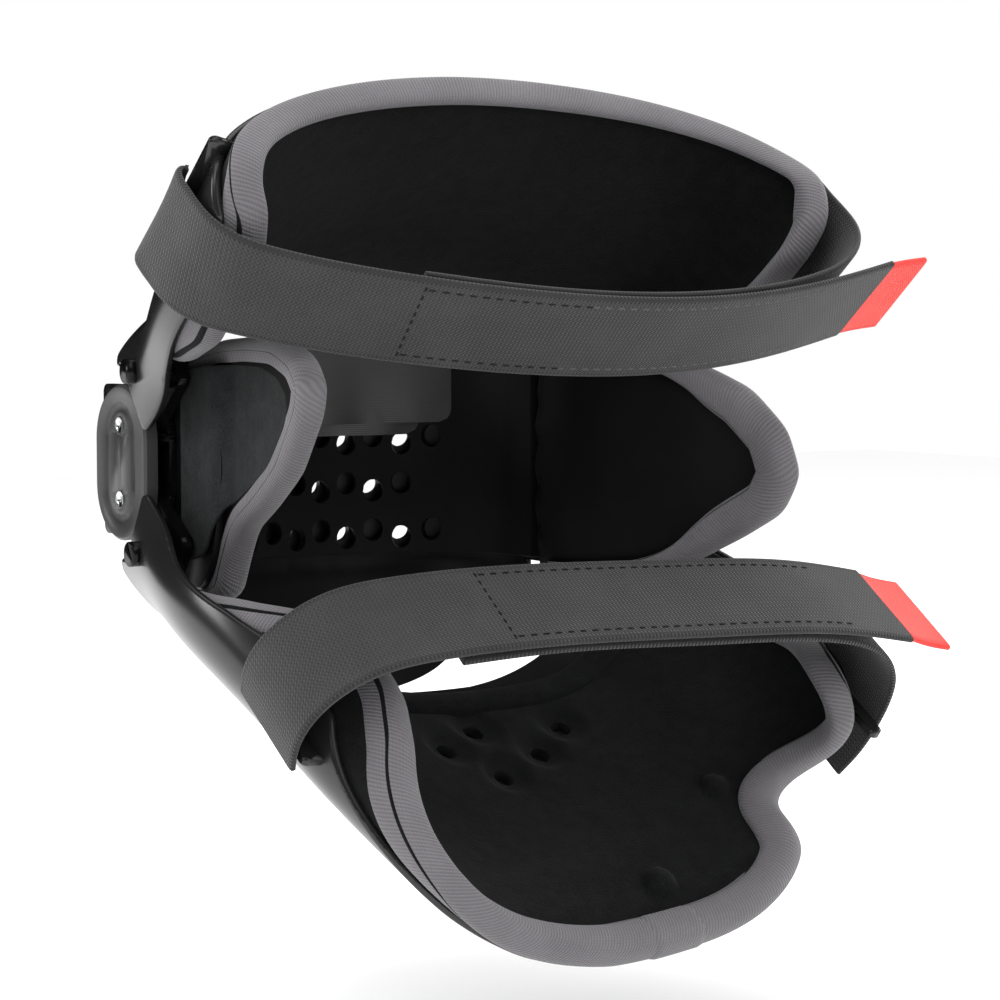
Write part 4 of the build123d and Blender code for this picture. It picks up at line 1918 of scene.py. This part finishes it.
@dataclass
class ShinSection:
    """Shin shell, its liner with vent holes and the calf strap."""

    def build(self) -> None:
        """Builds the section."""
        top = [(80, -88), (24, -86), (20, -62), (21, -36), (22, -14), (22, -8)]
        top += hinge_ear(66, -40, -1) + [(-15, -30), (-20, -60)]
        left = top + [
            (-28, -92), (-33, -120), (-30, -142), (-20, -158), (-10, -176), (0, -192), (10, -203),
            (20, -208), (80, -208),
        ]
        right = top + [
            (-27, -92), (-27, -118), (-26, -140), (-16, -150), (0, -154), (7, -166), (6, -184),
            (12, -200), (22, -206), (80, -208),
        ]
        LegShell("shin_shell", Body.SHIN, SHIN_WALL, left, right).build()
        self.liner()
        self.strap()

    def liner(self) -> None:
        """The liner: a scoop at the top, a notch low on the right, vent holes and two domes."""
        left = (
            (60, -94), (19, -93), (14, -73), (6, -59), (-5, -51), (-16, -66), (-30, -86),
            (-40, -104), (-43, -122), (-41, -144), (-36, -160), (-27, -174), (-17, -188),
            (-8, -200), (4, -209), (16, -213), (60, -213),
        )
        right = (
            (60, -94), (19, -93), (14, -73), (6, -59), (-5, -52), (-14, -76), (-23, -98),
            (-32, -120), (-36, -140), (-33, -154), (-24, -163), (-12, -163), (0, -161),
            (4, -167), (2, -178), (1, -190), (5, -200), (11, -208), (18, -212), (60, -213),
        )
        holes = np.array([(-22, -118), (-6, -109), (12, -123), (27, -112), (-8, -132)], float)
        size = SHIN_WALL.curve.at(holes[:, 1])
        angle = np.arcsin((holes[:, 0] - size[:, 2]) / size[:, 0])
        domes = SHIN_FRAME.world(np.array([(59, 9, -155), (17, 13, -187)], float))
        outline = SHIN_WALL.loop(left, right, passes=26)
        scoop_angle, scoop_low, overlap = 0.85, -110, 8
        scoop = (np.abs(outline[:, 0]) < scoop_angle) & (outline[:, 1] > scoop_low)
        first, last = np.flatnonzero(scoop)[[0, -1]]
        lining = Lining(
            "shin_liner", Body.SHIN, SHIN_WALL, outline, "shin_pad", "shin_binding",
            edge=np.concatenate([outline[last:], outline[:first]]),
            holes=SHIN_WALL.point(angle, holes[:, 1], 0.0), domes=domes,
        )
        lining.build()
        self.scoop_edge(lining, outline[first - overlap : last + overlap])
        self.edge_join(lining, outline)

    def scoop_edge(self, lining: Lining, run: Array) -> None:
        """The front scoop's edge: the lining's own cloth turned over, with no tape on it.

        Args:
            lining: the shin liner.
            run: (u, v) rows along the scoop.
        """
        spacing = 1.1
        route = evenly(run, spacing, SHIN_WALL.point(run[:, 0], run[:, 1], 0.0))
        half_width, half_height, inset, depth = 5.2, 5.0, 4.8, 5.2
        section = rounded(half_width, half_height, 2.4, 24)
        bead = lining.beside(route, False, inset, depth, section)
        edge = bead.build("shin_liner_scoop_edge", LINING.material(), CORD_ANGLE)
        put(edge, Body.SHIN, "lining")

    def edge_join(self, lining: Lining, outline: Array) -> None:
        """Where the tape's two ends overlap at the liner's foot: a short second layer, tacked down.

        Args:
            lining: the shin liner.
            outline: its closed outline, which starts at the foot.
        """
        angle, foot_count, half_run = 0.12, 60, 14
        spot = int(np.argmin(np.abs(outline[:foot_count, 0] - angle)))
        route = np.roll(outline, half_run - spot, axis=0)[: 2 * half_run]
        half_width, half_height, inset, depth = 6.35, 5.75, 5.8, 5.5
        section = rounded(half_width, half_height, 2.6, 28)
        bead = lining.beside(route, False, inset, depth, section)
        join = bead.build("shin_liner_edge_join", BINDING.material(), CORD_ANGLE)
        put(join, Body.SHIN, "binding")

    def strap(self) -> None:
        """The calf strap: folded round its left guide, across the rear and out to the red tab."""
        common = dict(body=Body.SHIN, frame=SHIN_FRAME, height=-136.0, rise=0.0, tilt=3.0)
        front = Ribbon(
            name="calf_webbing",
            plan=(
                (-100, -17.5), (-101.3, -24), (-101, -31), (-98, -39), (-92.5, -46), (-83, -52.5),
                (-66, -57), (-30, -60.5), (30, -61.5), (80, -60), (108, -55.5),
            ),
            finish=STRAP, slot="webbing", **common,
        )
        back = Ribbon(
            name="calf_webbing_return",
            plan=(
                (-56, -54.5), (-30, -57.2), (30, -58), (80, -56), (99, -49.5), (108.5, -39),
                (111.2, -28), (111, -17), (109, -7), (105.5, 1),
            ),
            finish=STRAP_EDGE, slot="webbing", width=35.0, **common,
        )
        tab = Ribbon(
            name="calf_pull_tab", plan=((108.1, -55.4), (116, -52.9), (126.5, -50.7)),
            finish=RED_TAPE, slot="red_tab", width=34.0, **common,
        )
        end = float(front.run[-1]) - 26
        rows = [front.cross_seam("calf_webbing_cross_seam", 87)]
        rows += front.seams("calf_webbing_seam", 89, end, BLACK_THREAD)
        stretch("calf", "shin_shell", front, back, tab, rows)


@dataclass
class KneeWings:
    """The perforated lining of the knee cup and the two padded wings beside it.

    Attributes:
        lining_low: height of the cup lining's lower edge.
        lining_high: height of its upper edge.
        lining_face: depth of its outer face.
        lining_inside: depth of its inner face.
        hole_pitch: distance from one vent hole to the next in a row.
        row_pitch: distance from row to row.
        cloth_front: place of the front edge of a wing's outer cloth.
        cloth_shrink: size of that cloth, fore-and-aft and upright, as shares of the wing's.
    """

    lining_low: float = -37.9
    lining_high: float = 31.9
    lining_face: float = 2.65
    lining_inside: float = 8.6
    hole_pitch: float = 22
    row_pitch: float = 17
    cloth_front: float = -23.0
    cloth_shrink: tuple[float, float] = (0.87, 0.72)

    def front(self) -> None:
        """The cup's lining.

        Its holes lie a little off the cup's, each showing a crescent, with blind ones between.
        """
        past_side, edge_step = 0.27, 0.8
        turn, low, high = math.pi / 2 + past_side, self.lining_low, self.lining_high
        corners = np.array([(-turn, low), (turn, low), (turn, high), (-turn, high), (-turn, low)])
        scale = np.array([CUP_WALL.reach, 1.0])
        outline = evenly(corners * scale, edge_step)[:-1] / scale
        row, column = np.meshgrid(np.arange(3), np.arange(7), indexing="ij")
        reach, last, top, hole_radius = 66, 50, 4, 4.2
        place = self.hole_pitch * column - reach + self.hole_pitch / 2 * (row % 2)
        spots = np.stack([place, top - self.row_pitch * row], axis=-1).reshape(-1, 2)
        spots = spots[spots[:, 0] < last]
        crescent, blind = (2.4, -2.4), (13.4, 0.4)
        spots = np.concatenate([spots + crescent, spots + blind])
        spots = spots[np.abs(spots[:, 0]) < reach]
        holes = CUP_WALL.point(np.arcsin(spots[:, 0] / CUP_HALF_WIDTH), spots[:, 1], 0.0)
        sheet = CutSheet.cut(CUP_WALL, outline, PAD_GRID, holes, hole_radius)
        count = len(sheet.uv)
        crown, crown_run, bulge = 0.5, 12, 0.3
        inner = self.lining_inside + crown * ease(sheet.inset / crown_run)
        pad = sheet.thicken(CUP_WALL, np.full(count, self.lining_face), inner, bulge)
        piece = pad.build("knee_front_lining", FOAM.material(), CLOTH_ANGLE)
        put(piece, Body.KNEE, "lining", "knee_liner")

    def build(self) -> None:
        """Builds the front lining and both wings."""
        self.front()
        self.wing(
            Side.LEFT, 88.0, 0.14,
            (
                (-8, 34), (-40, 40), (-62, 41), (-84, 40.5), (-100, 36), (-108.5, 27.5),
                (-106, 17.5), (-89, -1), (-70, -12), (-54, -20), (-47, -31), (-42, -41),
                (-30, -45), (-8, -45),
            ),
        )
        self.wing(
            Side.RIGHT, 101.5, 0.3,
            (
                (-8, 34), (-36, 38), (-64, 36), (-89, 31), (-105, 24), (-118, 11), (-123, -4),
                (-117, -17), (-102, -26), (-84, -35), (-62, -41), (-36, -43.5), (-8, -44.5),
            ),
        )

    def wing(self, side: Side, spread: float, slope: float, outline: Points) -> None:
        """One wing: its outline closed along the front, and the open rear run of it that is bound.

        Args:
            side: left or right.
            spread: the wall's spread at the rear.
            slope: the wall's slope there.
            outline: (fore, height) rows.
        """
        wall = KneeWall(side, spread, slope)
        step, passes, bound_front, slim_root = 0.6, 40, -20, -104.0
        line = soften(evenly(np.array(outline, float), step), passes)
        bound = line[line[:, 0] < bound_front]
        Lining(
            f"knee_wing_{side.word}", Body.KNEE, wall, line, f"knee_wing_pad_{side.word}",
            f"knee_wing_binding_{side.word}", base_depth=2.4, edge=bound, finish=FOAM,
            slim_root=slim_root if side is Side.RIGHT else None,
        ).build()
        self.facing(side, wall, line)

    def facing(self, side: Side, wall: KneeWall, line: Array) -> None:
        """The cloth outer face of a wing, from behind the hinge to the bound edge.

        It lies just outside the cup, then eases inwards by the cup's thickness and more behind the
        cup's rim.

        Args:
            side: left or right.
            wall: the wing's wall.
            line: the wing's (fore, height) outline.
        """
        rear = line[line[:, 0] < self.cloth_front]
        anchor = np.array([self.cloth_front, rear[:, 1].mean()])
        step, bulge = 0.8, 0.4
        outline = evenly(anchor + (rear - anchor) * np.array(self.cloth_shrink), step)
        outline = np.concatenate([outline, evenly(outline[[-1, 0]], step)[1:-1]])
        sheet = CutSheet.cut(wall, outline, PAD_GRID)
        rim, easing, drop, proud, thickness = -44.0, 12, 3.9, 1.35, 1.0
        outer = drop * ease((rim - sheet.uv[:, 0]) / easing) - proud
        cloth = sheet.thicken(wall, outer, outer + thickness, bulge)
        name = f"knee_wing_{side.word}_outer_cloth"
        piece = cloth.build(name, OUTER_CLOTH.material(), CLOTH_ANGLE)
        put(piece, Body.KNEE, "lining")


@dataclass
class Studio:
    """Pale floor and backdrop, large soft lights and the camera.

    Attributes:
        floor_level: height of the floor.
        azimuth: the camera's turn from straight behind the brace, in degrees.
        elevation: its height angle, in degrees.
        distance: its distance from the aim point.
        aim: the point it looks at.
        lens: its focal length.
    """

    floor_level: float
    azimuth: float = -34.2
    elevation: float = 3.9
    distance: float = 927.6
    aim: tuple[float, float, float] = (60.6, 0.0, -17.8)
    lens: float = 93.67

    def build(self) -> None:
        """Builds the stage."""
        self.floor()
        for name, place, size, power in (
            ("key", (-1.1, -0.7, 1.3), 1.2, 11.0),
            ("rim_left", (-1.3, 0.7, 0.5), 0.5, 6.0),
            ("rim_right", (1.3, 0.5, 0.6), 1.0, 12.0),
            ("front_fill", (0.5, -1.5, 0.3), 1.4, 6.0),
            ("overhead", (0.0, 0.1, 1.7), 1.6, 14.0),
        ):
            self.light(name, place, size, power)
        self.camera()
        world = bpy.data.worlds.new("studio")
        bpy.context.scene.world = world
        world.use_nodes = True
        back = world.node_tree.nodes["Background"]
        back.inputs["Color"].default_value = (1.0, 1.0, 1.0, 1.0)
        back.inputs["Strength"].default_value = 1.0
        world.cycles_visibility.glossy = False
        bpy.context.scene.view_settings.view_transform = "Standard"

    def floor(self) -> None:
        """A wide flat floor below the brace."""
        half = 2600.0
        corners = np.array([(-half, -half), (half, -half), (half, half), (-half, half)])
        points = np.concatenate([corners, np.full((4, 1), self.floor_level)], axis=1)
        flat = Mesh(points, np.array([[0, 1, 2, 3]]), corners)
        sweep = flat.build("studio_floor", SWEEP.material())
        sweep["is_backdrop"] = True

    def light(
        self, name: str, place: tuple[float, float, float], size: float, power: float
    ) -> None:
        """A square soft light aimed at the knee.

        Args:
            name: the light's name.
            place: where it stands, in metres.
            size: its side, in metres.
            power: its power, in watts.
        """
        lamp = bpy.data.lights.new(name, "AREA")
        lamp.shape = "SQUARE"
        lamp.size = size
        lamp.energy = power
        stand = bpy.data.objects.new(name, lamp)
        stand.location = place
        stand.rotation_euler = (-Vector(place)).to_track_quat("-Z", "Y").to_euler()
        bpy.context.scene.collection.objects.link(stand)

    def camera(self) -> None:
        """The camera stands off the aim point by the distance, at the azimuth and elevation."""
        turn, rise = math.radians(self.azimuth), math.radians(self.elevation)
        level = math.cos(rise)
        back = Vector((math.sin(turn) * level, -math.cos(turn) * level, math.sin(rise)))
        data = bpy.data.cameras.new("view")
        data.lens = self.lens
        data.sensor_width = 36.0
        data.clip_start = 0.05
        camera = bpy.data.objects.new("view", data)
        camera.location = (Vector(self.aim) + back * self.distance) * MM
        camera.rotation_euler = (-back).to_track_quat("-Z", "Y").to_euler()
        bpy.context.scene.collection.objects.link(camera)
        bpy.context.scene.camera = camera


def main() -> None:
    """Builds the brace around its frame, piece by piece, and then the studio."""
    logging.basicConfig(level=logging.INFO, format="%(name)s: %(message)s")
    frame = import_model()
    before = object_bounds()
    Hinges(frame).dress()
    ThighSection().build()
    ShinSection().build()
    KneeWings().build()
    Studio(floor_level=before[0][2] / MM - FLOOR_GAP).build()


if __name__ == "__main__":
    main()
